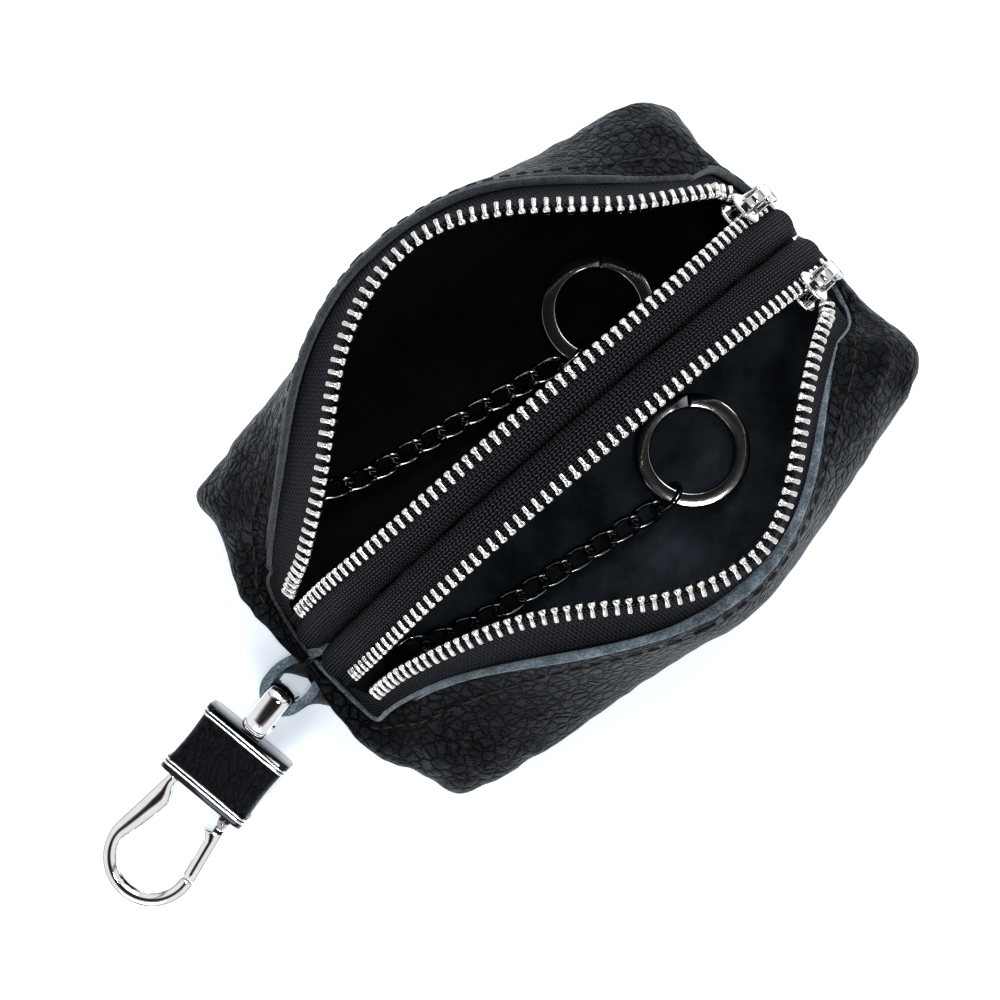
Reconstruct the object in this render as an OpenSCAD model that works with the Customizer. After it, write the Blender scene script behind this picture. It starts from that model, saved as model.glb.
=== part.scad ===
// Double-pocket zip key case with two key chains and a swivel clip.
// The case stands on its flat base: +X is the slider end, -X the clip end,
// +Y the left pocket, and the origin is the middle of the base.

/* [Case body] */
// Length of the case at its widest
case_len = 129; // [122:1:138]
// Width of the case at its widest, both pockets together
case_wid = 79; // [75:1:86]
// Height of the zip track above the base, at mid length
track_top = 54; // [51:0.5:58]
// Slope of the zip track at its ends, in degrees
track_slope = 58.2; // [56:0.2:60]
// Thickness of the leather
leather_t = 1.8; // [1.4:0.1:2.2]
// Thickness of the suede lining
lining_t = 0.7; // [0.5:0.1:1]
// Thickness of the partition between the pockets
partition_t = 2.4; // [1.8:0.1:3]
// Drop from the zip ends to the top of the end walls
end_wall_drop = 2.6; // [2:0.1:4]

/* [Mouths] */
// How far the left mouth's teeth open from the middle line
left_gape = 47; // [40:1:50]
// How far the right mouth's teeth open from the middle line
right_gape = 41.5; // [36:0.5:46]
// Place along the case where the left mouth opens widest
left_gape_x = 2; // [-8:1:12]
// Place along the case where the right mouth opens widest
right_gape_x = 12; // [0:1:20]
// Width of zip tape that shows between the leather and the teeth
tape_show = 7; // [5:0.5:8]

/* [Zips] */
// Spacing of the teeth along their row
tooth_pitch = 2.25; // [2:0.05:2.6]
// Length of one tooth across the row
tooth_len = 3.5; // [3.2:0.1:3.8]
// Width of one tooth along the row
tooth_wid = 1.15; // [0.9:0.05:1.3]
// Height of one tooth
tooth_h = 2.5; // [2.2:0.1:2.7]
// Distance from the middle line to the middle of each closed zip
zip_y = 9.9; // [9.6:0.1:10.4]
// Thickness of the zip tape
tape_t = 0.9; // [0.7:0.05:1]
// Length of a slider
slider_len = 11.5; // [10:0.5:12.5]
// Width of a slider
slider_wid = 8.6; // [8:0.1:9]
// Length of a pull from its pivot
pull_len = 22; // [16:1:24]
// Width of a pull
pull_wid = 7.6; // [7.2:0.1:8.4]
// Thickness of a pull
pull_t = 1.5; // [1.2:0.1:1.6]

/* [Key chains] */
// Wire diameter of the curb links
link_wire = 1.2; // [1:0.05:1.3]
// Spacing of the curb links
link_pitch = 5.5; // [5.3:0.1:5.8]
// Width of a curb link between its wire middles
link_wid = 3.9; // [3.8:0.05:4.2]
// Outside diameter of a split ring
ring_od = 23.4; // [22:0.2:25]
// Width of a split ring's band
ring_band = 3.1; // [2.6:0.1:3.4]
// Height of a split ring's two turns
ring_h = 1.8; // [1.4:0.1:2]

/* [Swivel clip] */
// Width of the collars
collar_wid = 21.5; // [20:0.5:24]
// Thickness of the ferrule, collar to collar height
collar_h = 9; // [8:0.5:10]
// Length of the leather sleeve
sleeve_len = 11.2; // [9:0.2:14]
// Outside width of the bow
bow_wid = 21.5; // [20:0.5:24]
// Width of the bow's bar, seen from above
bow_bar = 3.3; // [2.8:0.1:3.6]
// Height of the bow's bar
bow_h = 4.4; // [3.6:0.1:5]
// Length of the gate
gate_len = 13.4; // [12:0.2:15]
// Width of the leather hanging loop
loop_h = 9.6; // [8:0.2:10]
// Thickness of the hanging loop's leather
loop_t = 1.6; // [1.2:0.1:1.8]

/* [Hidden] */
LINKS = 10;
CHAIN_NAMES = ["left", "right"];

LEFT = 1;
RIGHT = -1;
fine = 48;               // facets of a full circle in small round parts
round_fine = 96;         // facets of a full circle in large round parts
cut = 1;                 // how far a cutting shape runs past what it cuts

// Leather shell
base_inset = 3;          // the flat base is smaller than the belly by this much all round
belly_push = 2.5;        // control line of the side profile, beyond the belly
belly_z = 17;            // height of that control line
box_power = 0.42;        // squareness of the case in plan
rim_power = 0.72;        // squareness of the rim's stations
rim_inset = 2.5;         // the rim's ends stand this far inside the belly's ends
rim_out = 3;             // the leather's rim lies this far outside the teeth
end_fade = 12;           // degrees of the round over which the rim turns to the middle seam
skin_stations = 72;
skin_levels = 10;
lining_gap = 0.1;
panel_levels = 8;        // steps of the partition's end edges
panel_gap = 0.4;         // between the partition and the leather's inner face

// Zip track: an arc in the XZ plane
rim_x = case_len / 2 - rim_inset;
track_x = rim_x - 1;
track_end = track_slope;
track_r = track_x / sin(track_end);
track_z = track_top - track_r;
end_wall_h = track_z + track_r * cos(track_end) - end_wall_drop;
slider_turn = slider_len / track_r * 180 / PI;
slider_at = track_end - slider_turn / 2 - 1.9;
end_room = 1.7;          // degrees of the track kept free of teeth at each end
tooth_step = tooth_pitch / track_r * 180 / PI;
tooth_count = floor(2 * (track_end - end_room) / tooth_step);
inner_row_y = zip_y - 1.5;
tooth_root = 0.62;       // part of a tooth's length that is full height
tooth_nose = 0.64;       // height of its nose, as a part of its height
tape_hump_r = 3.4;
tape_hump_y = tape_hump_r + 0.5;
tape_hump_drop = 3.35;
tape_hump_from = 33;     // the hump's section runs between these two angles
tape_hump_to = 205;
tape_hump_step = 17.2;

// Mouths
lip_pivot_y = 20;
lip_pivot_z = 10;
lip_start_y = [zip_y + 2.4, zip_y + 4.1];
lip_start_x = -track_x;
lip_end_y = zip_y + slider_wid / 2 + tooth_len / 2 + 0.35;
lip_end_x = track_r * sin(slider_at - slider_turn / 2);
lip_samples = 90;
lip_turn = 12;           // the open teeth lean up by this much
row_gap = 1.5;           // between the open row and each end of the mouth
strip_steps = 60;
strip_level = 0.98;      // level of the skin where the tape leaves the lining
left_lean = [0.25, 0.45];
right_lean = [0.9, 0.5];
lip_gap = 0.35;

// Slider
plate_t = 1;
plate_gap = tooth_h / 2 + 0.35;
crown_len = 7.4;
crown_w = 2.4;
crown_h = 4;
crown_hole_r = 1.3;
pull_pin_r = 0.85;
crown_round = 1.6;
crown_hole_x = 1.15;
crown_hole_up = 2;
neck_len = 3;
neck_wid = 2;
neck_in = 0.55;          // the neck stands this far from the slider's middle
pull_at = slider_at + crown_hole_x / track_r * 180 / PI;
pull_pin_up = plate_gap + plate_t + crown_hole_up;
pull_lie = 14;
pull_slot_len = 6.6;
pull_hole_r = 1.6;
stop_along = 1.6;
stop_in = 0.8;           // degrees of the track between a stop and the track's end

// Chains
wire_r = link_wire / 2;
link_play = 0.35;
link_a = (link_pitch + link_wire + link_play) / 2;
floor_z = leather_t + lining_gap + lining_t;
end_ring_r = 3.4;
end_tilt = 62;           // the end ring stands this far up from flat
chain_z = floor_z + 0.3 + end_ring_r * sin(end_tilt) + wire_r;
anchor_wire = 1.3;
anchor_r = 3.3;
hook_play = 0.3;
anchor_hook = anchor_wire / 2 + wire_r + hook_play;
anchor_back = anchor_r - anchor_hook / 2;
end_hook = 2 * wire_r + hook_play;
end_ahead = end_ring_r - end_hook / 2;
band_ahead = end_ahead + end_ring_r - wire_r - ring_band / 2 - 0.5;
tab_wid = 2.4;
tab_r = 2.3;
tab_len = 3.2;
tab_hole_r = 1.3;
chain_in = [20.6, 16.4];   // from the case's end to the first link, along the case
chain_out = [0.31, 0.162]; // from the middle line to it, as a part of the case's width
chain_start = [for (k = [0, 1]) [-case_len / 2 + chain_in[k], (1 - 2 * k) * chain_out[k] * case_wid]];
chain_yaw0 = [-31, -24];
chain_yaw1 = [-10.5, -8];
chain_turn_links = [3, 4];
ring_tilt = 45;          // the anchor ring stands square to the links' twisted ends
ring_dip = 5;
ring_swing = [26, 30];
end_turn = [13, 15];     // the end ring takes part of that turn

// Clip
clip_out = 11.2;         // from the case's end to the middle of the hanging loop
clip_at = [-case_len / 2 - clip_out, -1.4];
clip_yaw = 190;
clip_z = 7.2;
loop_in = 3;             // inside radius of the hanging loop
loop_reach = 20;         // the strap's two halves meet this far from the loop's middle
loop_meet = 11.6;        // and touch from here on
loop_yaw = 2;
eye_len = 12;
eye_wid = 4.6;
eye_t = 1.6;
eye_round = 3;
post_head_t = 1.2;
post_head_r = 3;
post_sink = 3;           // how far the post reaches into the core
eye_clear = 0.4;
eye_h = loop_h + 2 * eye_clear + 2 * eye_t;
post_r = 2;
fit = 0.06;
collar_t = 2.6;
eye_out = eye_len - eye_t / 2;
collar_x = eye_out + 0.35;
sleeve_x = collar_x + collar_t;
low_collar_x = sleeve_x + sleeve_len;
bow_x = low_collar_x + collar_t;
bow_r = (bow_wid - bow_bar) / 2;
leg_tilt = 8.5;
gate_x = bow_x + 1.9;
bow_cx = gate_x + gate_len * cos(leg_tilt) + bow_r * sin(leg_tilt);
gate_y = bow_r * cos(leg_tilt) - gate_len * sin(leg_tilt);
pin_r = 0.8;
boss_r = 1.75;
boss_h = 2.2;
spring_h = 0.7;
ear_t = 0.8;
ear_gap = 0.15;
boss_neck = 2.4;
collar_round = 1.8;
sleeve_in = 0.7;         // the sleeve's face is this far inside the collar's edge
sleeve_t = 1.25;
bar_round = 1.3;

// Shape helpers

function unit(v) = v / norm(v);
function signed_pow(c, p) = sign(c) * pow(abs(c), p);
function side_index(side) = side == LEFT ? 0 : 1;
function swell(t, lean) = (1 - lean) * sin(90 * t) + lean * (1 - cos(180 * t)) / 2;
function track_height(x) = track_z + sqrt(track_r * track_r - x * x);

// Distance of the open row of outer teeth from the middle line, at x
function mouth_y(x, side) =
    let (gape = side == LEFT ? left_gape : right_gape,
         peak = side == LEFT ? left_gape_x : right_gape_x,
         lean = side == LEFT ? left_lean : right_lean,
         low = lip_start_y[side_index(side)])
    x < peak
        ? low + (gape - low) * swell(max(0, (x - lip_start_x) / (peak - lip_start_x)), lean[0])
        : lip_end_y + (gape - lip_end_y) * swell(max(0, (lip_end_x - x) / (lip_end_x - peak)), lean[1]);

// Height of that row: the closed row turned outward about the lip's pivot line
function mouth_z(x, side) =
    let (y = mouth_y(x, side))
    lip_pivot_z + sqrt(pow(zip_y + 1 - lip_pivot_y, 2) + pow(track_height(x) - lip_pivot_z, 2)
                       - pow(y - lip_pivot_y, 2));

// Plan of the case at a station of the round, 0 at the slider end, 90 on the left
function plan(phi, half_x, half_y) =
    [half_x * signed_pow(cos(phi), box_power), half_y * signed_pow(sin(phi), box_power)];

function base_point(phi) =
    let (p = plan(phi, case_len / 2 - base_inset, case_wid / 2 - base_inset))
    [p[0], p[1], 0];

function belly_point(phi) =
    let (p = plan(phi, case_len / 2 + belly_push, case_wid / 2 + 1))
    [p[0], p[1], belly_z];

function rim_point(phi) =
    let (side = sin(phi) < 0 ? RIGHT : LEFT,
         x = rim_x * signed_pow(cos(phi), rim_power),
         row_x = min(lip_end_x, max(lip_start_x, x)),
         round_off = min(1, asin(abs(sin(phi))) / end_fade),
         y = (mouth_y(row_x, side) + rim_out) * round_off,
         row_z = mouth_z(row_x, side),
         lift = min(1, (row_z - track_height(track_x)) / 20),
         z = max(end_wall_h, row_z - 3 - (tape_show - 1) * lift),
         beyond = max(0, (abs(x) - abs(row_x)) / (rim_x - abs(row_x) + 0.01)))
    [x, side * y, z + (end_wall_h - z) * min(1, beyond + 1 - round_off)];

function skin(phi, t) =
    (1 - t) * (1 - t) * base_point(phi) + 2 * t * (1 - t) * belly_point(phi) + t * t * rim_point(phi);

// The same point, moved into the leather by depth, square to its face
function skin_in(phi, t, depth) =
    let (step = 0.5,
         along = skin(phi + step, t) - skin(phi - step, t),
         up = skin(phi, min(1, t + 0.02)) - skin(phi, max(0, t - 0.02)),
         inward = unit(cross(up, along)),
         p = skin(phi, t) + inward * depth)
    t == 0 ? [p[0], p[1], depth] : p;

function skin_ring(t, depth) =
    [for (i = [0:skin_stations - 1]) skin_in(360 * (i + 0.5) / skin_stations, t, depth)];

// Closed cup between two depths of the skin, open at the top
module cup(depth_out, depth_in, top_level) {
    tube(concat([for (j = [0:top_level]) skin_ring(j / skin_levels, depth_out)],
                [for (j = [top_level:-1:0]) skin_ring(j / skin_levels, depth_in)]));
}

// Closed solid through a list of rings with the same number of points
module tube(rings) {
    n = len(rings[0]);
    last = len(rings) - 1;
    polyhedron(
        points = [for (ring = rings) each ring],
        faces = concat(
            [[for (i = [0:n - 1]) i]],
            [[for (i = [n - 1:-1:0]) last * n + i]],
            [for (j = [0:last - 1], i = [0:n - 1])
                [j * n + i, (j + 1) * n + i, j * n + (i + 1) % n]],
            [for (j = [0:last - 1], i = [0:n - 1])
                [(j + 1) * n + i, (j + 1) * n + (i + 1) % n, j * n + (i + 1) % n]]),
        convexity = 10);
}

// Closed loop through a list of rings
module loop_tube(rings) {
    n = len(rings[0]);
    count = len(rings);
    polyhedron(
        points = [for (ring = rings) each ring],
        faces = concat(
            [for (j = [0:count - 1], i = [0:n - 1])
                [j * n + i, ((j + 1) % count) * n + i, j * n + (i + 1) % n]],
            [for (j = [0:count - 1], i = [0:n - 1])
                [((j + 1) % count) * n + i, ((j + 1) % count) * n + (i + 1) % n, j * n + (i + 1) % n]]),
        convexity = 6);
}

module leather_color() color([0.05, 0.05, 0.06]) children();
module suede_color() color([0.07, 0.07, 0.08]) children();
module tape_color() color([0.12, 0.12, 0.13]) children();
module chrome_color() color([0.75, 0.75, 0.78]) children();
module nickel_color() color([0.2, 0.2, 0.22]) children();

// Case

module outer_leather() leather_color() cup(0, leather_t, skin_levels);

module lining(side) {
    depth = leather_t + lining_gap;
    suede_color() intersection() {
        cup(depth, depth + lining_t, skin_levels - 1);
        mirror([0, side == LEFT ? 0 : 1, 0]) translate([-case_len, partition_t / 2 + lining_gap, 0])
            cube([2 * case_len, case_wid, track_top]);
    }
}

// Panel between the pockets: its ends follow the end walls, its top follows the track
module center_partition() {
    edge = [for (j = [1:panel_levels])
        skin_in(0, 0.06 + 0.92 * j / panel_levels, leather_t + panel_gap)];
    crest_r = track_r - tape_hump_drop - panel_gap;
    crest = track_end - 2;
    foot = edge[0][0] - leather_t;
    suede_color() rotate([90, 0, 0]) translate([0, 0, -partition_t / 2])
        linear_extrude(partition_t) polygon(concat(
            [[foot, floor_z - lining_t]],
            [for (p = edge) [p[0], p[2]]],
            [for (a = [crest:-4:-crest]) [crest_r * sin(a), track_z + crest_r * cos(a)]],
            [for (j = [panel_levels - 1:-1:0]) [-edge[j][0], edge[j][2]]],
            [[-foot, floor_z - lining_t]]));
}

// Ring sector about the track's axis, from a profile drawn as [y, height over the track]
module track_sweep(from, to) {
    translate([0, 0, track_z]) rotate([90, 0, 0]) rotate([0, 0, 90 - to])
        rotate_extrude(angle = to - from, $fn = 180) children();
}

// Section of an inner tape: it bulges over the partition and turns down beside it
module hump_profile(side) {
    middle = track_r - tape_hump_r * sin(tape_hump_from) - 0.05;
    in_r = tape_hump_r - tape_t;
    spans = [for (a = [tape_hump_from:tape_hump_step:tape_hump_to + 0.5]) a];
    polygon(concat(
        [for (a = spans)
            [middle + tape_hump_r * sin(a), -side * (tape_hump_y + tape_hump_r * cos(a))]],
        [for (i = [len(spans) - 1:-1:0])
            [middle + in_r * sin(spans[i]), -side * (tape_hump_y + in_r * cos(spans[i]))]]));
}

module inner_tape(side) tape_color() track_sweep(-track_end, track_end) hump_profile(side);

// One tooth: its root clips the tape, its nose points along +Y
module tooth() {
    root = tooth_len * tooth_root;
    nose_h = tooth_h * tooth_nose;
    translate([-tooth_wid / 2, -tooth_len / 2, -tooth_h / 2]) cube([tooth_wid, root, tooth_h]);
    translate([-tooth_wid / 2, -tooth_len / 2 + root, -nose_h / 2])
        cube([tooth_wid, tooth_len - root, nose_h]);
}

module inner_teeth(side) {
    chrome_color() for (i = [0:tooth_count - 1])
        on_track((i - (tooth_count - 1) / 2) * tooth_step, side, inner_row_y)
            mirror([0, side == LEFT ? 0 : 1, 0]) tooth();
}

// Outer row, lying open
function lip_x(i) = lip_start_x + (lip_end_x - lip_start_x) * i / lip_samples;
function lip_point(x, side) = [x, side * mouth_y(x, side), mouth_z(x, side)];
function run_table(side) =
    [for (i = 0, s = 0; i <= lip_samples;
          s = s + (i < lip_samples ? norm(lip_point(lip_x(i + 1), side) - lip_point(lip_x(i), side)) : 0),
          i = i + 1)
        [s, lip_x(i)]];

module outer_teeth(side) {
    table = run_table(side);
    run = table[lip_samples][0] - 2 * row_gap;
    count = floor(run / tooth_pitch);
    chrome_color() for (i = [0:count - 1]) {
        s = row_gap + (i + 0.5) * run / count;
        x = lookup(s, table);
        ahead = lip_point(x + 0.5, side) - lip_point(x - 0.5, side);
        translate(lip_point(x, side))
            rotate([0, 0, atan2(ahead[1], ahead[0])])
            rotate([0, -atan2(ahead[2], norm([ahead[0], ahead[1]])), 0])
            mirror([0, side == LEFT ? 1 : 0, 0]) rotate([lip_turn, 0, 0]) tooth();
    }
}

// Strip of tape from the leather's rim up to the open teeth
module outer_tape(side) {
    end_gap = 1.2;
    depth = leather_t + lining_gap + lining_t + lip_gap;
    run = lip_end_x - lip_start_x - 2 * end_gap;
    rings = [for (i = [0:strip_steps])
        let (x = lip_start_x + end_gap + run * i / strip_steps,
             c = acos(max(-1, min(1, signed_pow(x / rim_x, 1 / rim_power)))),
             phi = side == LEFT ? c : 360 - c,
             root = skin_in(phi, strip_level, depth),
             inward = unit(root - skin_in(phi, strip_level, depth - tape_t)),
             top = lip_point(x, side) - [0, 0, 0.4])
        [root, root + (lip_point(x, side) - root) * 0.15 + inward * tape_t,
         top + inward * tape_t * 0.6, top - inward * tape_t * 0.4]];
    tape_color() mirror_rings(rings, side);
}

module mirror_rings(rings, side) {
    tube(side == LEFT ? [for (r = rings) [for (i = [len(r) - 1:-1:0]) r[i]]] : rings);
}

// Places children at an angle of the track, with z measured from the tooth line
module on_track(angle, side, y = zip_y) {
    translate([0, 0, track_z]) rotate([0, angle, 0]) translate([0, side * y, track_r]) children();
}

// The bottom stop joins both tapes at the slider end; the top stop sits on the inner tape
module bottom_stops() chrome_color() for (side = [LEFT, RIGHT])
    on_track(track_end - stop_in, side, inner_row_y + 0.6)
        cube([stop_along, 2 * tooth_len - 1.5, tooth_h], center = true);

module top_stops() chrome_color() for (side = [LEFT, RIGHT])
    on_track(-track_end + stop_in, side, inner_row_y)
        cube([stop_along, tooth_len, tooth_h], center = true);

module slider(side) {
    half = slider_turn / 2;
    chrome_color() union() {
        for (r = [track_r + plate_gap, track_r - plate_gap - plate_t])
            track_sweep(slider_at - half, slider_at + half)
                translate([r, -side * zip_y - slider_wid / 2]) square([plate_t, slider_wid]);
        on_track(slider_at - half + 1.6, side) mirror([0, side == LEFT ? 0 : 1, 0])
            translate([-1.6, neck_in, -plate_gap - 0.3])
            cube([neck_len, neck_wid, 2 * plate_gap + 0.6]);
    }
}

module crown(side) {
    chrome_color() on_track(slider_at, side)
        translate([0, crown_w / 2, plate_gap + plate_t]) rotate([90, 0, 0]) linear_extrude(crown_w)
        difference() {
            union() {
                translate([-crown_len / 2, -0.03]) square([crown_len, crown_h - crown_round]);
                translate([-crown_len / 2 + crown_round, 0])
                    square([crown_len - 2 * crown_round, crown_h]);
                for (x = [-1, 1])
                    translate([x * (crown_len / 2 - crown_round), crown_h - crown_round])
                        circle(crown_round, $fn = fine);
            }
            translate([crown_hole_x, crown_hole_up]) circle(crown_hole_r, $fn = fine);
        }
}

// Flat pull with a slot over the crown; the bar across the slot is its pivot
module pull(side) {
    slot_w = crown_w + 1;
    bar = slot_w + 0.6;
    tip = pull_len - pull_wid / 2;
    chrome_color() on_track(pull_at, side) translate([0, 0, pull_pin_up]) rotate([0, pull_lie, 0]) {
        translate([0, 0, -pull_t / 2]) linear_extrude(pull_t) difference() {
            union() {
                translate([0, -pull_wid / 2]) square([tip, pull_wid]);
                translate([tip, 0]) circle(d = pull_wid, $fn = fine);
            }
            translate([-cut, -slot_w / 2]) square([pull_slot_len + cut, slot_w]);
            translate([tip, 0]) circle(pull_hole_r, $fn = fine);
        }
        translate([0, bar / 2, 0]) rotate([90, 0, 0]) cylinder(h = bar, r = pull_pin_r, $fn = fine);
    }
}

// Clip

module clip_frame() translate([clip_at[0], clip_at[1], clip_z]) rotate([0, 0, clip_yaw]) children();

// Drop shape round the origin, with its point along +X
module drop(r, reach) {
    turn = acos(r / reach);
    circle(r, $fn = fine);
    polygon([[reach, 0], [r * cos(turn), r * sin(turn)], [0, 0], [r * cos(turn), -r * sin(turn)]]);
}

// Space outside the end wall at the clip end
module outside_end_wall() {
    edge = [for (j = [0:skin_levels]) skin(180 - 180 / skin_stations, j / skin_levels)];
    far = -case_len;
    rotate([90, 0, 0]) translate([0, 0, -case_wid / 2]) linear_extrude(case_wid)
        polygon(concat([[far, -cut], [edge[0][0], -cut]],
                       [for (p = edge) [p[0], p[2]]], [[far, end_wall_h]]));
}

// Strap folded round the eye, both ends sewn to the end wall
module hang_loop() {
    leather_color() intersection() {
        translate([clip_at[0], clip_at[1], clip_z - loop_h / 2]) rotate([0, 0, loop_yaw])
            linear_extrude(loop_h) difference() {
                drop(loop_in + loop_t, loop_reach);
                drop(loop_in, loop_meet);
            }
        outside_end_wall();
    }
}

module round_rect(l, w, r) {
    square([l - 2 * r, w], center = true);
    square([l, w - 2 * r], center = true);
    for (sx = [-1, 1], sy = [-1, 1])
        translate([sx * (l / 2 - r), sy * (w / 2 - r)]) circle(r, $fn = fine);
}

module swivel_eye() {
    chrome_color() clip_frame() translate([eye_len / 2 - eye_t / 2, eye_wid / 2, 0]) rotate([90, 0, 0])
        difference() {
            linear_extrude(eye_wid) difference() {
                round_rect(eye_len, eye_h, eye_round);
                round_rect(eye_len - 2 * eye_t, eye_h - 2 * eye_t, eye_round / 2);
            }
            translate([eye_len / 2 - 2 * eye_t, 0, eye_wid / 2]) rotate([0, 90, 0])
                cylinder(h = 3 * eye_t, r = post_r + fit, $fn = fine);
        }
}

module swivel_post() {
    head_x = eye_out - eye_t - post_head_t - 0.1;
    chrome_color() clip_frame() rotate([0, 90, 0]) {
        translate([0, 0, head_x]) cylinder(h = post_head_t, r = post_head_r, $fn = fine);
        translate([0, 0, head_x + 0.8])
            cylinder(h = sleeve_x + post_sink - head_x - 0.8, r = post_r, $fn = fine);
    }
}

// Block of the ferrule between two stations, with rounded corners
module ferrule_block(x, length, w, h, r) {
    translate([x, 0, 0]) rotate([90, 0, 90]) linear_extrude(length) round_rect(w, h, r);
}

module top_collar() {
    chrome_color() clip_frame() difference() {
        ferrule_block(collar_x, collar_t, collar_wid, collar_h, collar_round);
        rotate([0, 90, 0]) cylinder(h = sleeve_x + cut, r = post_r + fit, $fn = fine);
    }
}

module ferrule_core() {
    around = 2 * (sleeve_in + sleeve_t) + 0.1;
    nickel_color() clip_frame() difference() {
        ferrule_block(sleeve_x, sleeve_len, collar_wid - around, collar_h - around + 1, 1.5);
        rotate([0, 90, 0]) cylinder(h = sleeve_x + post_sink + 0.5, r = post_r + fit, $fn = fine);
    }
}

module leather_sleeve() {
    wid = collar_wid - 2 * sleeve_in;
    h = collar_h - 2 * sleeve_in + 0.8;
    leather_color() clip_frame() difference() {
        ferrule_block(sleeve_x + 0.1, sleeve_len - 0.2, wid, h, 2);
        ferrule_block(sleeve_x - cut, sleeve_len + 2 * cut, wid - 2 * sleeve_t, h - 2 * sleeve_t + 0.2, 1.5);
    }
}

module bottom_collar() {
    chrome_color() clip_frame() {
        ferrule_block(low_collar_x, collar_t, collar_wid, collar_h, collar_round);
        for (z = [boss_h / 2 + ear_gap, -boss_h / 2 - ear_gap - ear_t])
            translate([0, gate_y, z]) linear_extrude(ear_t) difference() {
                union() {
                    translate([bow_x - 0.1, -boss_r]) square([gate_x - bow_x + 0.1, 2 * boss_r]);
                    translate([gate_x, 0]) circle(boss_r, $fn = fine);
                }
                translate([gate_x, 0]) circle(pin_r + 0.02, $fn = fine);
            }
    }
}

module bar_profile() round_rect(bow_bar, bow_h, bar_round);

module bow() {
    leg_len = (bow_cx - bow_r * sin(leg_tilt) - bow_x) / cos(leg_tilt);
    chrome_color() clip_frame() difference() {
        translate([bow_cx, 0, 0]) rotate([0, 0, -90 - leg_tilt]) {
            rotate_extrude(angle = 180 + 2 * leg_tilt - 1, $fn = round_fine)
                translate([bow_r, 0]) bar_profile();
            translate([bow_r, 0, 0]) rotate([90, 0, 0]) linear_extrude(leg_len + cut) bar_profile();
        }
        translate([bow_x - bow_h, -bow_wid, -bow_h]) cube([bow_h, 2 * bow_wid, 2 * bow_h]);
    }
}

module gate() {
    chrome_color() clip_frame() translate([gate_x, gate_y, 0]) rotate([0, 0, leg_tilt]) difference() {
        union() {
            translate([boss_r + 0.35, 0, 0]) rotate([90, 0, 90])
                linear_extrude(gate_len - boss_r - 0.6) bar_profile();
            translate([0, 0, -boss_h / 2]) cylinder(h = boss_h, r = boss_r, $fn = fine);
            translate([0, -boss_neck / 2, -boss_h / 2]) cube([boss_r + 1, boss_neck, boss_h]);
        }
        translate([0, 0, -boss_h]) cylinder(h = 2 * boss_h, r = pin_r + fit, $fn = fine);
        translate([0, 0, boss_h / 2 - spring_h - 0.1])
            cylinder(h = spring_h + cut, r = boss_r - 0.3, $fn = fine);
    }
}

module gate_pin() {
    reach = boss_h / 2 + ear_gap + ear_t;
    chrome_color() clip_frame() translate([gate_x, gate_y, -reach])
        cylinder(h = 2 * reach, r = pin_r, $fn = fine);
}

module gate_spring() {
    nickel_color() clip_frame() translate([gate_x, gate_y, boss_h / 2 - spring_h]) difference() {
        cylinder(h = spring_h, r = boss_r - 0.4, $fn = fine);
        translate([0, 0, -cut]) cylinder(h = spring_h + 2 * cut, r = pin_r + 0.12, $fn = fine);
    }
}

// Key chains

function chain_yaw(k, i) =
    chain_yaw0[k] + (chain_yaw1[k] - chain_yaw0[k]) * min(1, i / chain_turn_links[k]);
function heading(a) = [cos(a), sin(a)];

// Hook point before link i: each link reaches half a pitch to either side of its middle
function hook(k, i) =
    i <= 1 ? chain_start[k] : hook(k, i - 1) + link_pitch * heading(chain_yaw(k, i - 1));

module at_link(k, i) {
    p = hook(k, i) + link_pitch / 2 * heading(chain_yaw(k, i));
    translate([p[0], p[1], chain_z]) rotate([0, 0, chain_yaw(k, i)]) children();
}

// Twisted curb link round the origin, long way along X
module curb_link() {
    sides = 6;
    steps = 18;
    rings = [for (j = [0:steps - 1])
        let (a = 360 * j / steps,
             p = [link_a * cos(a), link_wid / 2 * sin(a), link_wid / 4 * sin(2 * a)],
             along = unit([-link_a * sin(a), link_wid / 2 * cos(a), link_wid / 2 * cos(2 * a)]),
             out = unit(cross(along, [-sin(a) * 0.01, 0, 1])),
             side_dir = cross(out, along))
        [for (i = [0:sides - 1])
            let (b = 360 * i / sides)
            p + wire_r * (cos(b) * out + sin(b) * side_dir)]];
    loop_tube(rings);
}

module link(k, i) nickel_color() at_link(k, i) curb_link();

module wire_ring(r, wire) {
    rotate_extrude($fn = fine) translate([r, 0]) circle(wire / 2, $fn = 24);
}

module anchor_ring(k) {
    nickel_color() at_link(k, 1) rotate([ring_tilt, 0, 0]) translate([-link_pitch / 2 - anchor_back, 0, 0])
        wire_ring(anchor_r, anchor_wire);
}

// Suede tab that holds the anchor ring on the end wall
module anchor_tab(k) {
    suede_color() at_link(k, 1) rotate([ring_tilt, 0, 0])
        translate([-link_pitch / 2 - anchor_back - anchor_r, tab_wid / 2, 0]) rotate([90, 0, 0])
        linear_extrude(tab_wid) difference() {
            union() {
                circle(tab_r, $fn = fine);
                translate([-tab_len, -tab_r]) square([tab_len, 2 * tab_r]);
            }
            circle(tab_hole_r, $fn = fine);
        }
}

// Places children at the last link's hook, turned the way the end ring has turned
module at_chain_end(k) {
    at_link(k, LINKS) translate([link_pitch / 2, 0, 0]) rotate([0, 0, end_turn[k]]) children();
}

module end_ring(k) {
    nickel_color() at_chain_end(k) translate([end_ahead, 0, 0]) rotate([-end_tilt, 0, 0])
        wire_ring(end_ring_r, link_wire);
}

module split_ring(k) {
    mid_r = (ring_od - ring_band) / 2;
    nickel_color() at_chain_end(k) translate([band_ahead, 0, 0])
        rotate([0, ring_dip, ring_swing[k] - end_turn[k]]) translate([mid_r, 0, -ring_h / 2])
        rotate_extrude($fn = round_fine) translate([mid_r - ring_band / 2, 0]) square([ring_band, ring_h]);
}

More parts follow.
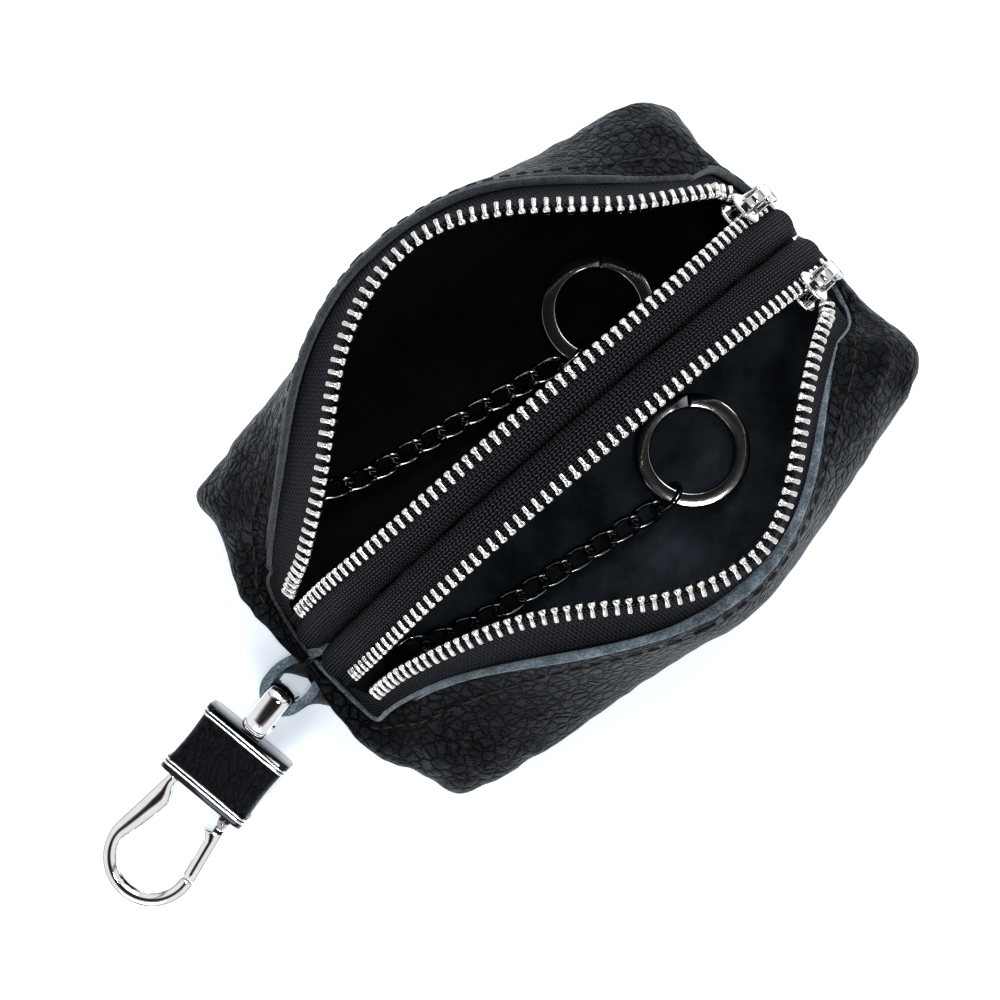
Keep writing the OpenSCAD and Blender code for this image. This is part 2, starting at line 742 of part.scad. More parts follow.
outer_leather();
center_partition();
lining(LEFT);  // left_lining
lining(RIGHT);  // right_lining
inner_tape(LEFT);  // left_inner_tape
inner_tape(RIGHT);  // right_inner_tape
outer_tape(LEFT);  // left_outer_tape
outer_tape(RIGHT);  // right_outer_tape
inner_teeth(LEFT);  // left_inner_teeth
inner_teeth(RIGHT);  // right_inner_teeth
outer_teeth(LEFT);  // left_outer_teeth
outer_teeth(RIGHT);  // right_outer_teeth
bottom_stops();
top_stops();
slider(LEFT);  // left_slider
slider(RIGHT);  // right_slider
crown(LEFT);  // left_crown
crown(RIGHT);  // right_crown
pull(LEFT);  // left_pull
pull(RIGHT);  // right_pull
hang_loop();
swivel_eye();
swivel_post();
top_collar();
bottom_collar();
leather_sleeve();
ferrule_core();
bow();
gate();
gate_pin();
gate_spring();
for (k = [0, 1]) {
    anchor_tab(k);
    anchor_ring(k);
    for (i = [1:LINKS])
        link(k, i);
    end_ring(k);
    split_ring(k);
}
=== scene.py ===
"""The looks of the double-pocket key case: leather, suede, zips, chains and clip."""
import math
import bmesh
import bpy
from mathutils import Matrix, Vector, noise


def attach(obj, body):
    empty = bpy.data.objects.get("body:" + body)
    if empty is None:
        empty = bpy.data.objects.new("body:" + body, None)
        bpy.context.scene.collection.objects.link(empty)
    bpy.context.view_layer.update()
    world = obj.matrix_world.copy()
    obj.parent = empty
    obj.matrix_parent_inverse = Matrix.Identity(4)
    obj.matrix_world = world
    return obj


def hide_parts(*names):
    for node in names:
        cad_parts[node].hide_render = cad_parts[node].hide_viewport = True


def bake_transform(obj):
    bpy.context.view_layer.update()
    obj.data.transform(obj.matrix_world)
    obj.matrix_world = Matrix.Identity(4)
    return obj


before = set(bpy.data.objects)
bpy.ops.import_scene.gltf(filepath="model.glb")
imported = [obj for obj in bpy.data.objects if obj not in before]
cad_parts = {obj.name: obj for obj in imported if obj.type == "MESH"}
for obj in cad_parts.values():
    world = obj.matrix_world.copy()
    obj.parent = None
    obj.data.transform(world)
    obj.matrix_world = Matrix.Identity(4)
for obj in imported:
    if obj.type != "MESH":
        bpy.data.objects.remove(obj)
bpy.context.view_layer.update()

# Sizes are in millimetres, as in the part's source, and Shape.piece turns them into metres.
MM = 0.001
CASE_LEN = 129.0
CASE_WID = 79.0
TRACK_TOP = 54.0
TRACK_SLOPE = 58.2
LEATHER_T = 1.8
LINING_T = 0.7
LINING_GAP = 0.1
PARTITION_T = 2.4
END_WALL_DROP = 2.6
TAPE_SHOW = 7.0
TOOTH_PITCH = 2.25
TOOTH_LEN = 3.5
TOOTH_H = 2.5
ZIP_Y = 9.9
TAPE_T = 0.8
SLIDER_LEN = 11.5
SLIDER_WID = 8.6
LEFT, RIGHT = 0, 1
SIDES = (LEFT, RIGHT)
NAMES = ("left", "right")
SIGN = (1, -1)                # the left pocket is at +Y
GAPE = (47.0, 41.5)           # how far each open row stands from the middle line at its widest
GAPE_X = (2.0, 12.0)          # and where that is
LEAN = ((0.25, 0.45), (0.9, 0.5))  # how late each row's sweep rises, from the clip and slider end

# Plan of the leather, fuller than the part's. Pairs are for the left and the right pocket.
BELLY_Z = 17.0
BOX_SHARP = 14                # how square the plan's corners are
BASE_HALF = (CASE_LEN / 2 - 5.5, CASE_WID / 2 - 5)
BASE_SWELL = (1.5, 5.0)
BELLY_HALF = (CASE_LEN / 2 + 3.5, CASE_WID / 2 + 5.5)
BELLY_SWELL = (9.0, 2.0, 8.0)  # at the clip end, on the left and on the right
BELLY_DRAW = 5.0              # the slider end is drawn in by this much at its middle
BELLY_SLANT = 0.175           # the belly leans this much along the case for each mm across
BELLY_WIDER = ((8.6, 0.6), (3.6, -4.8))  # more width on each side, and its change along the case
SWELL_FROM = (0.35, 0.44)     # the end walls' swell fades from this share of the width
SWELL_FADE = 0.45
RIM_GAP = (5.2, 4.6)          # from the open teeth's lip to the rim
RIM_STEEP = 1.2
RIM_POWER = (0.72, 0.52)      # at the slider end and at the clip end, as in the pairs below
END_FADE = ((22.0, 23.0), (22.0, 15.0))  # degrees over which the rim rounds off, on each side
RIM_X = CASE_LEN / 2 - 2.5
CLIP_RIM_X = RIM_X + 4.6      # at the clip end the rim lies further out
CLIP_RIM_DROP = 3.2           # and lower
TRACK_X = RIM_X - 1
TRACK_R = TRACK_X / math.sin(math.radians(TRACK_SLOPE))
TRACK_Z = TRACK_TOP - TRACK_R
END_WALL_H = TRACK_Z + TRACK_R * math.cos(math.radians(TRACK_SLOPE)) - END_WALL_DROP
SLIDER_TURN = math.degrees(SLIDER_LEN / TRACK_R)
SLIDER_AT = TRACK_SLOPE - SLIDER_TURN / 2 - 1.9
LIP_START_Y = (ZIP_Y + 2.4, ZIP_Y + 4.1)
LIP_START_X = -TRACK_X
LIP_END_Y = ZIP_Y + SLIDER_WID / 2 + TOOTH_LEN / 2 + 0.35
LIP_END_X = TRACK_R * math.sin(math.radians(SLIDER_AT - SLIDER_TURN / 2))
LIP_PIVOT = (20.0, 10.0)
INNER_ROW_Y = ZIP_Y - 1.5
ROW_BEND = (1.7, 0.9)         # how far the inner rows bow toward each other at mid length
UP = Vector((0, 0, 1))


def sind(angle):
    return math.sin(math.radians(angle))


def cosd(angle):
    return math.cos(math.radians(angle))


def clamp(value, low=0.0, high=1.0):
    return max(low, min(high, value))


def smooth(value):
    value = clamp(value)
    return value * value * (3 - 2 * value)


def signed_pow(value, power):
    return math.copysign(abs(value) ** power, value)


def mix(a, b, t):
    return a + (b - a) * t


def hump(x, middle, width):
    """Bell curve of height 1."""
    return math.exp(-((x - middle) / width) ** 2)


def polar(radius, angle, z=0.0):
    return Vector((radius * cosd(angle), radius * sind(angle), z))


def swell(t, lean):
    t = max(0.0, t)
    return (1 - lean) * sind(90 * t) + lean * (1 - cosd(180 * t)) / 2


def track_height(x):
    return TRACK_Z + math.sqrt(TRACK_R ** 2 - x * x)


def mouth_y(x, side):
    """Distance of the open outer teeth from the middle line."""
    peak, gape, lean = GAPE_X[side], GAPE[side], LEAN[side]
    if x < peak:
        low = LIP_START_Y[side]
        return low + (gape - low) * swell((x - LIP_START_X) / (peak - LIP_START_X), lean[0])
    return LIP_END_Y + (gape - LIP_END_Y) * swell((LIP_END_X - x) / (LIP_END_X - peak), lean[1])


def mouth_z(x, side):
    y0, z0 = LIP_PIVOT
    reach = (ZIP_Y + 1 - y0) ** 2 + (track_height(x) - z0) ** 2
    return z0 + math.sqrt(reach - (mouth_y(x, side) - y0) ** 2)


def lip_angle(x, side):
    """Angle through which the open row at x turns to close."""
    y0, z0 = LIP_PIVOT
    shut = math.atan2(track_height(x) - z0, ZIP_Y + 1 - y0)
    return shut - math.atan2(mouth_z(x, side) - z0, mouth_y(x, side) - y0)


def lip_share(x, side):
    """That angle as a share of the largest."""
    x = clamp(x, LIP_START_X, LIP_END_X)
    return clamp(lip_angle(x, side) / lip_angle(GAPE_X[side], side))


# Mesh building


class Shape:
    """Collects points and faces in millimetres."""

    def __init__(self):
        self.points = []
        self.faces = []
        self.slots = []
        self.places = []

    def add(self, points, faces, slot=0, places=None):
        start = len(self.points)
        self.points += [Vector(p) for p in points]
        self.places += places or [(0.0, 0.0)] * len(points)
        self.faces += [tuple(start + i for i in face) for face in faces]
        self.slots += [slot] * len(faces)
        return start

    def grid(self, rows, slot=0, flip=False, loop=False, places=None):
        """Sheet through rows of points with the same length; loop joins each row's ends."""
        n = len(rows[0])
        faces = []
        for j in range(len(rows) - 1):
            for i in range(n if loop else n - 1):
                a, b = j * n + i, j * n + (i + 1) % n
                face = (a, b, b + n, a + n)
                faces.append(face[::-1] if flip else face)
        flat = [uv for row in places for uv in row] if places else None
        return self.add([p for row in rows for p in row], faces, slot, flat)

    def sweep(self, rings, slot=0, closed=False, caps=True, places=None):
        """Solid through rings of points."""
        n = len(rings[0])
        start = self.grid(rings, slot, loop=True, places=places)
        last = start + (len(rings) - 1) * n
        if closed:
            self.faces += [(last + i, last + (i + 1) % n, start + (i + 1) % n, start + i)
                           for i in range(n)]
            self.slots += [slot] * n
        elif caps:
            self.faces += [tuple(start + i for i in reversed(range(n))), tuple(last + i for i in range(n))]
            self.slots += [slot] * 2
        return start

    def piece(self, name, *materials, turn=None):
        mesh = bpy.data.meshes.new(name)
        points = [turn @ p for p in self.points] if turn else self.points
        mesh.from_pydata([p * MM for p in points], [], self.faces)
        for material in materials:
            mesh.materials.append(material)
        mesh.polygons.foreach_set("material_index", self.slots)
        mesh.polygons.foreach_set("use_smooth", [True] * len(self.faces))
        if any(uv != (0.0, 0.0) for uv in self.places):
            layer = mesh.uv_layers.new(name="along")
            for loop in mesh.loops:
                layer.data[loop.index].uv = self.places[loop.vertex_index]
        mesh.update()
        mesh.validate()
        return show(name, mesh)

    def solid(self, name, *materials, turn=None):
        return outward(self.piece(name, *materials, turn=turn))


def swept(rings, **how):
    shape = Shape()
    shape.sweep(rings, **how)
    return shape


def show(name, data):
    made = bpy.data.objects.new(name, data)
    bpy.context.scene.collection.objects.link(made)
    return made


def outward(piece, join=0.0):
    """Turns all faces of a piece outward, once points closer than join are one."""
    work = bmesh.new()
    work.from_mesh(piece.data)
    if join:
        bmesh.ops.remove_doubles(work, verts=work.verts, dist=join * MM)
    bmesh.ops.recalc_face_normals(work, faces=work.faces)
    work.to_mesh(piece.data)
    work.free()
    return piece


def bevel(piece, width, segments=2, angle=40, keep_sharp=True):
    step = piece.modifiers.new("bevel", "BEVEL")
    step.width = width * MM
    step.segments = segments
    step.limit_method = "ANGLE"
    step.angle_limit = math.radians(angle)
    piece.modifiers.new("weighted", "WEIGHTED_NORMAL").keep_sharp = keep_sharp
    return piece


def refine(piece):
    step = piece.modifiers.new("refine", "SUBSURF")
    step.levels = step.render_levels = 1
    return piece


def place(piece, body, *nodes, slot=None):
    if nodes:
        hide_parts(*nodes)
    if body:
        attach(piece, body)
    return piece


def follow(piece, side, share):
    """Bakes the piece's placement and works out, for each point, its share of the bend between the case and
    its mouth's lip; nothing uses these shares, so the piece does not bend.
    """
    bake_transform(piece)
    values = [clamp(share(v.co / MM, side)) for v in piece.data.vertices]
    return piece


def frames_along(points, up=UP):
    """Direction, side and upright vectors at each point of a path."""
    out = []
    for i, p in enumerate(points):
        ahead = (points[min(i + 1, len(points) - 1)] - points[max(i - 1, 0)]).normalized()
        aside = up.cross(ahead).normalized()
        out.append((p, ahead, aside, ahead.cross(aside)))
    return out


def ring_at(p, aside, up, section):
    return [p + aside * a + up * b for a, b in section]


def run_along(points):
    """Distance of each point from the first, along them."""
    out = [0.0]
    for a, b in zip(points, points[1:]):
        out.append(out[-1] + math.dist(a, b))
    return out


def rounded_section(width, height, radius, steps=4):
    """Rounded rectangle as (across, up) pairs."""
    radius = min(radius, width / 2 - 0.001, height / 2 - 0.001)
    points = []
    for corner in range(4):
        cx = (width / 2 - radius) * (1 if corner in (0, 3) else -1)
        cy = (height / 2 - radius) * (1 if corner in (0, 1) else -1)
        for i in range(steps + 1):
            a = 90 * corner + 90 * i / steps
            points.append((cx + radius * cosd(a), cy + radius * sind(a)))
    return points


# Materials


class Nodes:
    """Short forms for building the node tree of a material or of the world."""

    def __init__(self, owner):
        owner.use_nodes = True
        self.owner = owner
        self.tree = owner.node_tree
        self.shader = self.tree.nodes.get("Principled BSDF") or self.tree.nodes["Background"]

    def add(self, kind, **settings):
        made = self.tree.nodes.new("ShaderNode" + kind)
        for key, value in settings.items():
            if hasattr(made, key):
                setattr(made, key, value)
            else:
                self.feed(made.inputs[key.replace("_", " ")], value)
        return made

    def feed(self, socket, value):
        if isinstance(value, bpy.types.NodeSocket):
            self.tree.links.new(value, socket)
        else:
            socket.default_value = value

    def set(self, **values):
        for key, value in values.items():
            self.feed(self.shader.inputs[key.replace("_", " ")], value)

    def math(self, operation, *values):
        made = self.add("Math", operation=operation)
        for socket, value in zip(made.inputs, values):
            self.feed(socket, value)
        return made.outputs[0]

    def scaled(self, value, by, plus):
        return self.math("ADD", self.math("MULTIPLY", value, by), plus)

    def blend(self, kind, share, a, b):
        made = self.add("Mix", data_type="RGBA", blend_type=kind)
        for at, value in ((0, share), (6, a), (7, b)):
            self.feed(made.inputs[at], value)
        return made.outputs[2]

    def ramp(self, fac, *stops):
        made = self.tree.nodes.new("ShaderNodeValToRGB")
        elements = made.color_ramp.elements
        while len(elements) < len(stops):
            elements.new(0.5)
        for element, (position, color) in zip(elements, stops):
            element.position = position
            element.color = (*color, 1) if len(color) == 3 else color
        self.feed(made.inputs[0], fac)
        return made.outputs[0]

    def noise(self, scale, detail=3.0, rough=0.5):
        made = self.add("TexNoise", Scale=scale, Detail=detail, Roughness=rough)
        self.feed(made.inputs["Vector"], self.object_place())
        return made.outputs["Fac"]

    def object_place(self):
        return self.add("TexCoord").outputs["Object"]

    def bump(self, height, strength, distance):
        return self.add("Bump", Strength=strength, Distance=distance, Height=height).outputs["Normal"]


def new_material(name):
    return Nodes(bpy.data.materials.new(name))


def shades(bright, *tones):
    return [tuple(c * bright for c in tone) for tone in tones]


def grey(value):
    return (value, value, value)


def leather(name, pebble=2.3, depth=0.0009, color=(0.0016, 0.0020, 0.0027)):
    """Pebbled leather: large and small cells with creases between them."""
    n = new_material(name)
    place_at = n.object_place()
    warp = n.add("TexNoise", Scale=300.0, Detail=2.0)
    n.feed(warp.inputs["Vector"], place_at)
    bent = n.add("VectorMath", operation="MULTIPLY_ADD")
    n.feed(bent.inputs[0], warp.outputs["Color"])
    bent.inputs[1].default_value = (0.0011, 0.0011, 0.0011)
    n.feed(bent.inputs[2], place_at)
    heights = []
    for size, low, high in ((pebble, 0.07, 0.24), (pebble * 0.45, 0.12, 0.34)):
        cells = n.add("TexVoronoi", feature="DISTANCE_TO_EDGE", Scale=1 / (size * MM))
        n.feed(cells.inputs["Vector"], bent.outputs[0])
        heights.append(n.ramp(cells.outputs["Distance"], (0.0, grey(0.0)), (low, grey(0.5)),
                              (high, grey(0.88)), (0.5, grey(1.0))))
    patch = n.ramp(n.noise(90.0, 3.0, 0.6), (0.35, grey(0.35)), (0.6, grey(1.0)))
    fine = n.noise(3200.0, 4.0, 0.6)
    small = n.math("MULTIPLY", heights[1], 0.16)
    large = n.scaled(n.math("MULTIPLY", heights[0], patch), 0.8, small)
    height = n.math("ADD", large, n.math("MULTIPLY", fine, 0.05))
    # Painted shade and highlight: the creases between the large cells are painted darker and the cell
    # crowns lighter in the base colour.
    painted_crease_shade, crown = shades(0.2, color)[0], shades(1.4, color)[0]
    tone = n.ramp(heights[0], (0.0, painted_crease_shade), (0.7, color), (1.0, crown))
    n.set(Base_Color=tone, Normal=n.bump(height, 1.0, depth))
    n.set(Roughness=n.scaled(n.noise(500.0, 3.0), 0.20, 0.28))
    n.set(Specular_IOR_Level=n.scaled(height, 0.085, 0.030), Specular_Tint=(0.80, 0.92, 1.0, 1))
    return n.owner


def raw_edge(name, bright=1.0):
    n = new_material(name)
    fibres = n.noise(2100.0, 5.0, 0.75)
    patches = n.noise(330.0, 2.0)
    blend = n.scaled(fibres, 0.7, n.math("MULTIPLY", patches, 0.35))
    tones = shades(bright, (0.010, 0.014, 0.018), (0.070, 0.095, 0.115), (0.22, 0.275, 0.325))
    tone = n.ramp(blend, *zip((0.38, 0.52, 0.68), tones))
    n.set(Base_Color=tone, Roughness=0.95, Specular_IOR_Level=0.12, Sheen_Weight=0.35)
    n.set(Normal=n.bump(fibres, 1.0, 0.0004))
    return n.owner


def suede(name, color):
    n = new_material(name)
    nap = n.noise(1500.0, 5.0, 0.7)
    cloud = n.noise(110.0, 4.0, 0.6)
    tone = n.ramp(cloud, (0.35, shades(0.55, color)[0]), (0.7, shades(1.9, color)[0]))
    n.set(Base_Color=tone, Roughness=1.0, Specular_IOR_Level=0.05, Sheen_Weight=0.02, Sheen_Roughness=0.6)
    n.set(Normal=n.bump(nap, 0.8, 0.0003))
    return n.owner


COLUMN_PITCH = 0.68
STITCH_PITCH = 0.95


def woven_tape(name, bright=1.0):
    """Knitted zip tape: columns of slanted stitches along the tape."""
    n = new_material(name)
    split = n.add("SeparateXYZ")
    n.feed(split.inputs[0], n.add("UVMap", uv_map="along").outputs[0])
    along, across = split.outputs[0], split.outputs[1]
    column = n.math("MULTIPLY", across, 1 / COLUMN_PITCH)
    ridge = n.math("ABSOLUTE", n.math("SINE", n.math("MULTIPLY", column, math.pi)))
    slant = n.math("PINGPONG", column, 1.0)
    step = n.scaled(along, 1 / STITCH_PITCH, n.math("MULTIPLY", slant, 0.9))
    stitch = n.math("ABSOLUTE", n.math("SINE", n.math("MULTIPLY", step, math.pi)))
    fuzz = n.noise(2400.0, 3.0, 0.7)
    height = n.scaled(ridge, stitch, n.math("MULTIPLY", fuzz, 0.35))
    # The stitch tops are painted light and the hollows near black: painted highlight and painted shade on
    # the knit.
    tones = shades(bright, grey(0.0003), (0.0022, 0.0027, 0.0034), (0.062, 0.069, 0.084))
    tone = n.ramp(height, *zip((0.28, 0.64, 0.98), tones))
    n.set(Base_Color=tone, Roughness=0.6, Specular_IOR_Level=0.05)
    n.set(Normal=n.bump(height, 1.0, 0.0010))
    return n.owner


def metal(name, color, rough=0.06, wear=0.04, dent=0.0):
    n = new_material(name)
    cloud = n.noise(420.0, 4.0, 0.6)
    n.set(Base_Color=n.ramp(cloud, (0.3, shades(0.9, color)[0]), (0.7, color)), Metallic=1.0)
    n.set(Roughness=n.scaled(n.noise(1300.0, 4.0, 0.7), wear, rough))
    if dent:
        n.set(Normal=n.bump(n.noise(900.0, 2.0), 0.35, dent))
    return n.owner


def thread(name):
    n = new_material(name)
    ply = n.noise(3000.0, 2.0)
    n.set(Base_Color=n.ramp(ply, (0.3, grey(0.007)), (0.7, grey(0.026))), Roughness=0.7)
    n.set(Specular_IOR_Level=0.10)
    n.set(Normal=n.bump(ply, 0.6, 0.0001))
    return n.owner


LEATHER = leather("black_leather")
SMOOTH_LEATHER = leather("smooth_black_leather", pebble=1.3, depth=0.00022)
RAW_EDGE = raw_edge("raw_leather_edge")
# Copy of the cut edge with its tones scaled to 0.22 for the left pocket: painted shade.
PAINTED_SHADE_EDGE = raw_edge("painted_shade_leather_edge", bright=0.22)
SUEDE = suede("black_suede", (0.0011, 0.0014, 0.0021))
# Brighter copy of the suede for the right pocket's lining: painted light, where the left lining keeps the
# dark suede.
PAINTED_LIGHT_SUEDE = suede("painted_light_black_suede", (0.0135, 0.0182, 0.0228))
TAPE = woven_tape("woven_zip_tape")
# Copy of the tape toned for the outer strips, its tones scaled by 0.95: painted shade.
PAINTED_SHADE_TAPE = woven_tape("painted_shade_zip_tape", bright=0.95)
THREAD = thread("black_thread")
TEETH = metal("bright_teeth", (0.76, 0.735, 0.70), rough=0.07, wear=0.11, dent=0.0003)
CHROME = metal("polished_chrome", (0.88, 0.88, 0.89), rough=0.03, wear=0.03)
# Near-black metal for the collars' flats: a painted dark reflection standing in for chrome.
PAINTED_REFLECTION_CHROME = metal("chrome_painted_dark_reflection", (0.022, 0.022, 0.025), rough=0.05, wear=0.05)
SLIDER_METAL = metal("slider_metal", (0.62, 0.61, 0.60), rough=0.05, wear=0.05)
NICKEL = metal("black_nickel", (0.27, 0.27, 0.28), rough=0.05, wear=0.06)
STEEL = metal("plain_steel", (0.42, 0.42, 0.43), rough=0.3, wear=0.2)
# The left pocket's cut edges take the painted-shade copy, the right pocket's the plain one.
EDGES = (PAINTED_SHADE_EDGE, RAW_EDGE)

# Leather shell

WALL_STEPS = 44
FLOOR_STEPS = 8
STATIONS = 220
LINING_STATIONS = 140
NEAR_MIDDLE = 0.6             # each half of the shell stops this many degrees from the middle line
SEAM_Z = 8.5                  # height of the cross seam on each end wall
SEAM_DEPTH = 1.1
CROSS_SEAM = 1.3              # half widths of that seam and of the middle one
MIDDLE_SEAM = 1.4
CLIP_TUCK = (1.7, 7)          # the clip end is drawn in round the loop: seam depths, half width
CORNER_SPREAD = ((3.6, 4.6), (1.6, -0.8))  # how far each pinched corner stands out
CORNER_Y = 37.5
CORNER_SIZE = (5.0, 4.5)      # half height and half width of a pinched corner
RIM_NEAR = (1.9, 1.3)         # the rim is this much nearer the teeth at the mouth's widest place
LINING_TOP = 0.93             # share of the wall's height that the lining covers


def plan(phi, half, end_swell, side_swell, side):
    """Outline of the case at one height: a box whose ends and sides bow outward."""
    reach = (abs(cosd(phi)) ** BOX_SHARP + abs(sind(phi)) ** BOX_SHARP) ** (-1 / BOX_SHARP)
    x, y = cosd(phi) * reach, sind(phi) * reach
    return (half[0] * x + end_swell * x * (1 - smooth((abs(y) - SWELL_FROM[side]) / SWELL_FADE)),
            half[1] * y + side_swell * y * (1 - x * x))


def rim_out(x, side):
    """Distance across the case from the open teeth to the leather's rim."""
    slope = mouth_y(x + 0.5, side) - mouth_y(x - 0.5, side)
    change = 0.9 * smooth((-x - 8) / 25) if side == LEFT else 0.0
    change -= RIM_NEAR[side] * hump(x - GAPE_X[side], 4, 15)
    return (RIM_GAP[side] + change) * math.sqrt(1 + min(RIM_STEEP, slope * slope))


def rim_reach(x):
    return CLIP_RIM_X if x < 0 else RIM_X


def rim_point(phi, side):
    clip_end = cosd(phi) < 0
    x = rim_reach(cosd(phi)) * signed_pow(cosd(phi), RIM_POWER[clip_end])
    row_x = clamp(x, LIP_START_X, LIP_END_X)
    share = abs(math.tan(math.radians(phi))) / math.tan(math.radians(END_FADE[side][clip_end]))
    round_off = share / (1 + share ** 6) ** (1 / 6)
    y = (mouth_y(row_x, side) + rim_out(row_x, side)) * round_off
    row_z = mouth_z(row_x, side)
    lift = min(1.0, (row_z - track_height(TRACK_X)) / 20)
    z = max(END_WALL_H, row_z - 3 - (TAPE_SHOW - 1) * lift * 0.8)
    beyond = max(0.0, (abs(x) - abs(row_x)) / (rim_reach(x) - abs(row_x) + 0.01))
    end_z = END_WALL_H - (CLIP_RIM_DROP if x < 0 else 0)
    z += (end_z - z) * min(1.0, beyond + 1 - round_off)
    return Vector((x, SIGN[side] * y, z))


def skin(phi, t, side):
    """Wall of the case: t runs from the base to the rim."""
    s = SIGN[side]
    bx, by = plan(phi, BASE_HALF, *BASE_SWELL, side)
    end_swell = BELLY_SWELL[0] if cosd(phi) < 0 else -BELLY_DRAW
    cx, cy = plan(phi, BELLY_HALF, end_swell, BELLY_SWELL[1 + side], side)
    cx -= BELLY_SLANT * s * cy * smooth(cx / BELLY_HALF[0])
    cy *= 1 + (BELLY_WIDER[side][0] + BELLY_WIDER[side][1] * cx / BASE_HALF[0]) / BELLY_HALF[1]
    base, belly = Vector((bx, s * by, 0)), Vector((cx, s * cy, BELLY_Z))
    return base * (1 - t) ** 2 + belly * 2 * t * (1 - t) + rim_point(phi, side) * t * t


def wrinkle(p, t, side):
    """Folds of the soft leather, mostly near the corners and under the rim."""
    corner = hump(abs(p.x), 52, 14) * hump(abs(p.y), 30, 13)
    ends = smooth((abs(p.x) - 44) / 14)
    slow = noise.noise(p * 0.055 + Vector((3.1, 7.7, side * 9.3)))
    fold = 1 - abs(noise.noise(Vector((p.x * 0.16, p.y * 0.16, p.z * 0.07 + side * 5.0))))
    pucker = noise.noise(Vector((p.x * 0.32, p.y * 0.32, p.z * 0.05 + 11.0)))
    deep = 0.7 * slow + (smooth(fold) - 0.75) * (1.0 * corner + 0.3 * ends + 0.35)
    return deep + pucker * (0.4 * hump(t, 0.80, 0.13) + 0.1) * (0.5 + 0.5 * ends)


def shell_point(u, t, side, depth=0.0, folds=True):
    """Point of the shell: u runs round from the slider end, t below 0 crosses the floor."""
    phi = clamp(180 * u, NEAR_MIDDLE, 180 - NEAR_MIDDLE)
    level = max(0.0, t)
    step = 0.5
    p = skin(phi, level, side)
    along = skin(min(179.9, phi + step), level, side) - skin(max(0.1, phi - step), level, side)
    up = skin(phi, min(1, level + 0.02), side) - skin(phi, max(0, level - 0.02), side)
    inward = up.cross(along).normalized() * SIGN[side]
    at_foot = smooth(level / 0.12)
    at_rim = 1 - smooth((level - 0.74) / 0.24)
    out = Vector((0, 0, 0))
    if folds:
        end_wall = smooth((abs(p.x) - CASE_LEN / 2 + 9) / 7)
        cross_seam = hump(p.z, SEAM_Z, CROSS_SEAM) * end_wall
        middle_seam = hump(p.y, 0, MIDDLE_SEAM) * end_wall * smooth((p.z - SEAM_Z + 1) / 2)
        if p.x < 0:
            middle_seam += CLIP_TUCK[0] * hump(p.y, 0, CLIP_TUCK[1]) * end_wall * smooth(p.z / 8)
        ear = hump(p.z, SEAM_Z, CORNER_SIZE[0]) * hump(abs(p.y), CORNER_Y, CORNER_SIZE[1]) * end_wall
        ear *= CORNER_SPREAD[side][p.x > 0]
        swollen = wrinkle(p, level, side) * at_foot * at_rim * smooth(abs(p.y) / 5)
        swollen -= SEAM_DEPTH * (cross_seam + middle_seam)
        out = -inward * swollen
        out += Vector((math.copysign(0.6, p.x), SIGN[side], 0)) * ear
    q = p + inward * depth + out
    if depth:
        q.z = max(q.z, depth)
        q.y = SIGN[side] * max(SIGN[side] * q.y, 0.0)
    if t < 0:
        centre = Vector((cosd(phi) * (BASE_HALF[0] - depth), 0, depth))
        q = q.lerp(centre, -t)
        q.z = depth
    return q


def wall_levels(top=1.0):
    floor = [-1 + i / FLOOR_STEPS for i in range(FLOOR_STEPS)]
    return floor + [top * i / WALL_STEPS for i in range(WALL_STEPS + 1)]


def shell_share(p, side):
    """Share of the lip's turn that a point of the soft wall takes."""
    rim_z = mouth_z(clamp(p.x, LIP_START_X, LIP_END_X), side)
    return lip_share(p.x, side) * smooth((p.z - 12) / (rim_z - 18))


def skin_solid(side, depths, folds, slots, top=1.0, stations=STATIONS):
    """Half of the shell between two depths, closed all round."""
    levels = wall_levels(top)
    columns = range(stations + 1)
    n = len(levels)
    shape = Shape()
    first, second = [
        shape.grid([[shell_point(i / stations, t, side, depth, folded) for t in levels] for i in columns],
                   slot, flip=side == inside)
        for depth, folded, slot, inside in zip(depths, folds, slots, (RIGHT, LEFT))]
    edges = [([i * n + n - 1 for i in columns], slots[2]), ([i * n for i in columns], slots[1])]
    edges += [([row * n + j for j in range(n)], slots[1]) for row in (0, stations)]
    for edge, slot in edges:
        for a, b in zip(edge, edge[1:]):
            shape.faces.append((first + a, first + b, second + b, second + a))
            shape.slots.append(slot)
    return shape


def make_shell(side):
    shape = skin_solid(side, (0.0, LEATHER_T), (True, False), (0, 1, 2))
    follow(shape.solid(NAMES[side] + "_leather", LEATHER, SUEDE, EDGES[side]), side, shell_share)


def make_lining(side):
    depth = LEATHER_T + LINING_GAP
    shape = skin_solid(side, (depth, depth + LINING_T), (False, False), (0, 0, 0), LINING_TOP,
                       LINING_STATIONS)
    # The right lining takes the painted-light copy of the suede.
    lining = shape.solid(NAMES[side] + "_suede_lining", (SUEDE, PAINTED_LIGHT_SUEDE)[side])
    place(follow(lining, side, shell_share), None, NAMES[side] + "_lining", slot="suede")


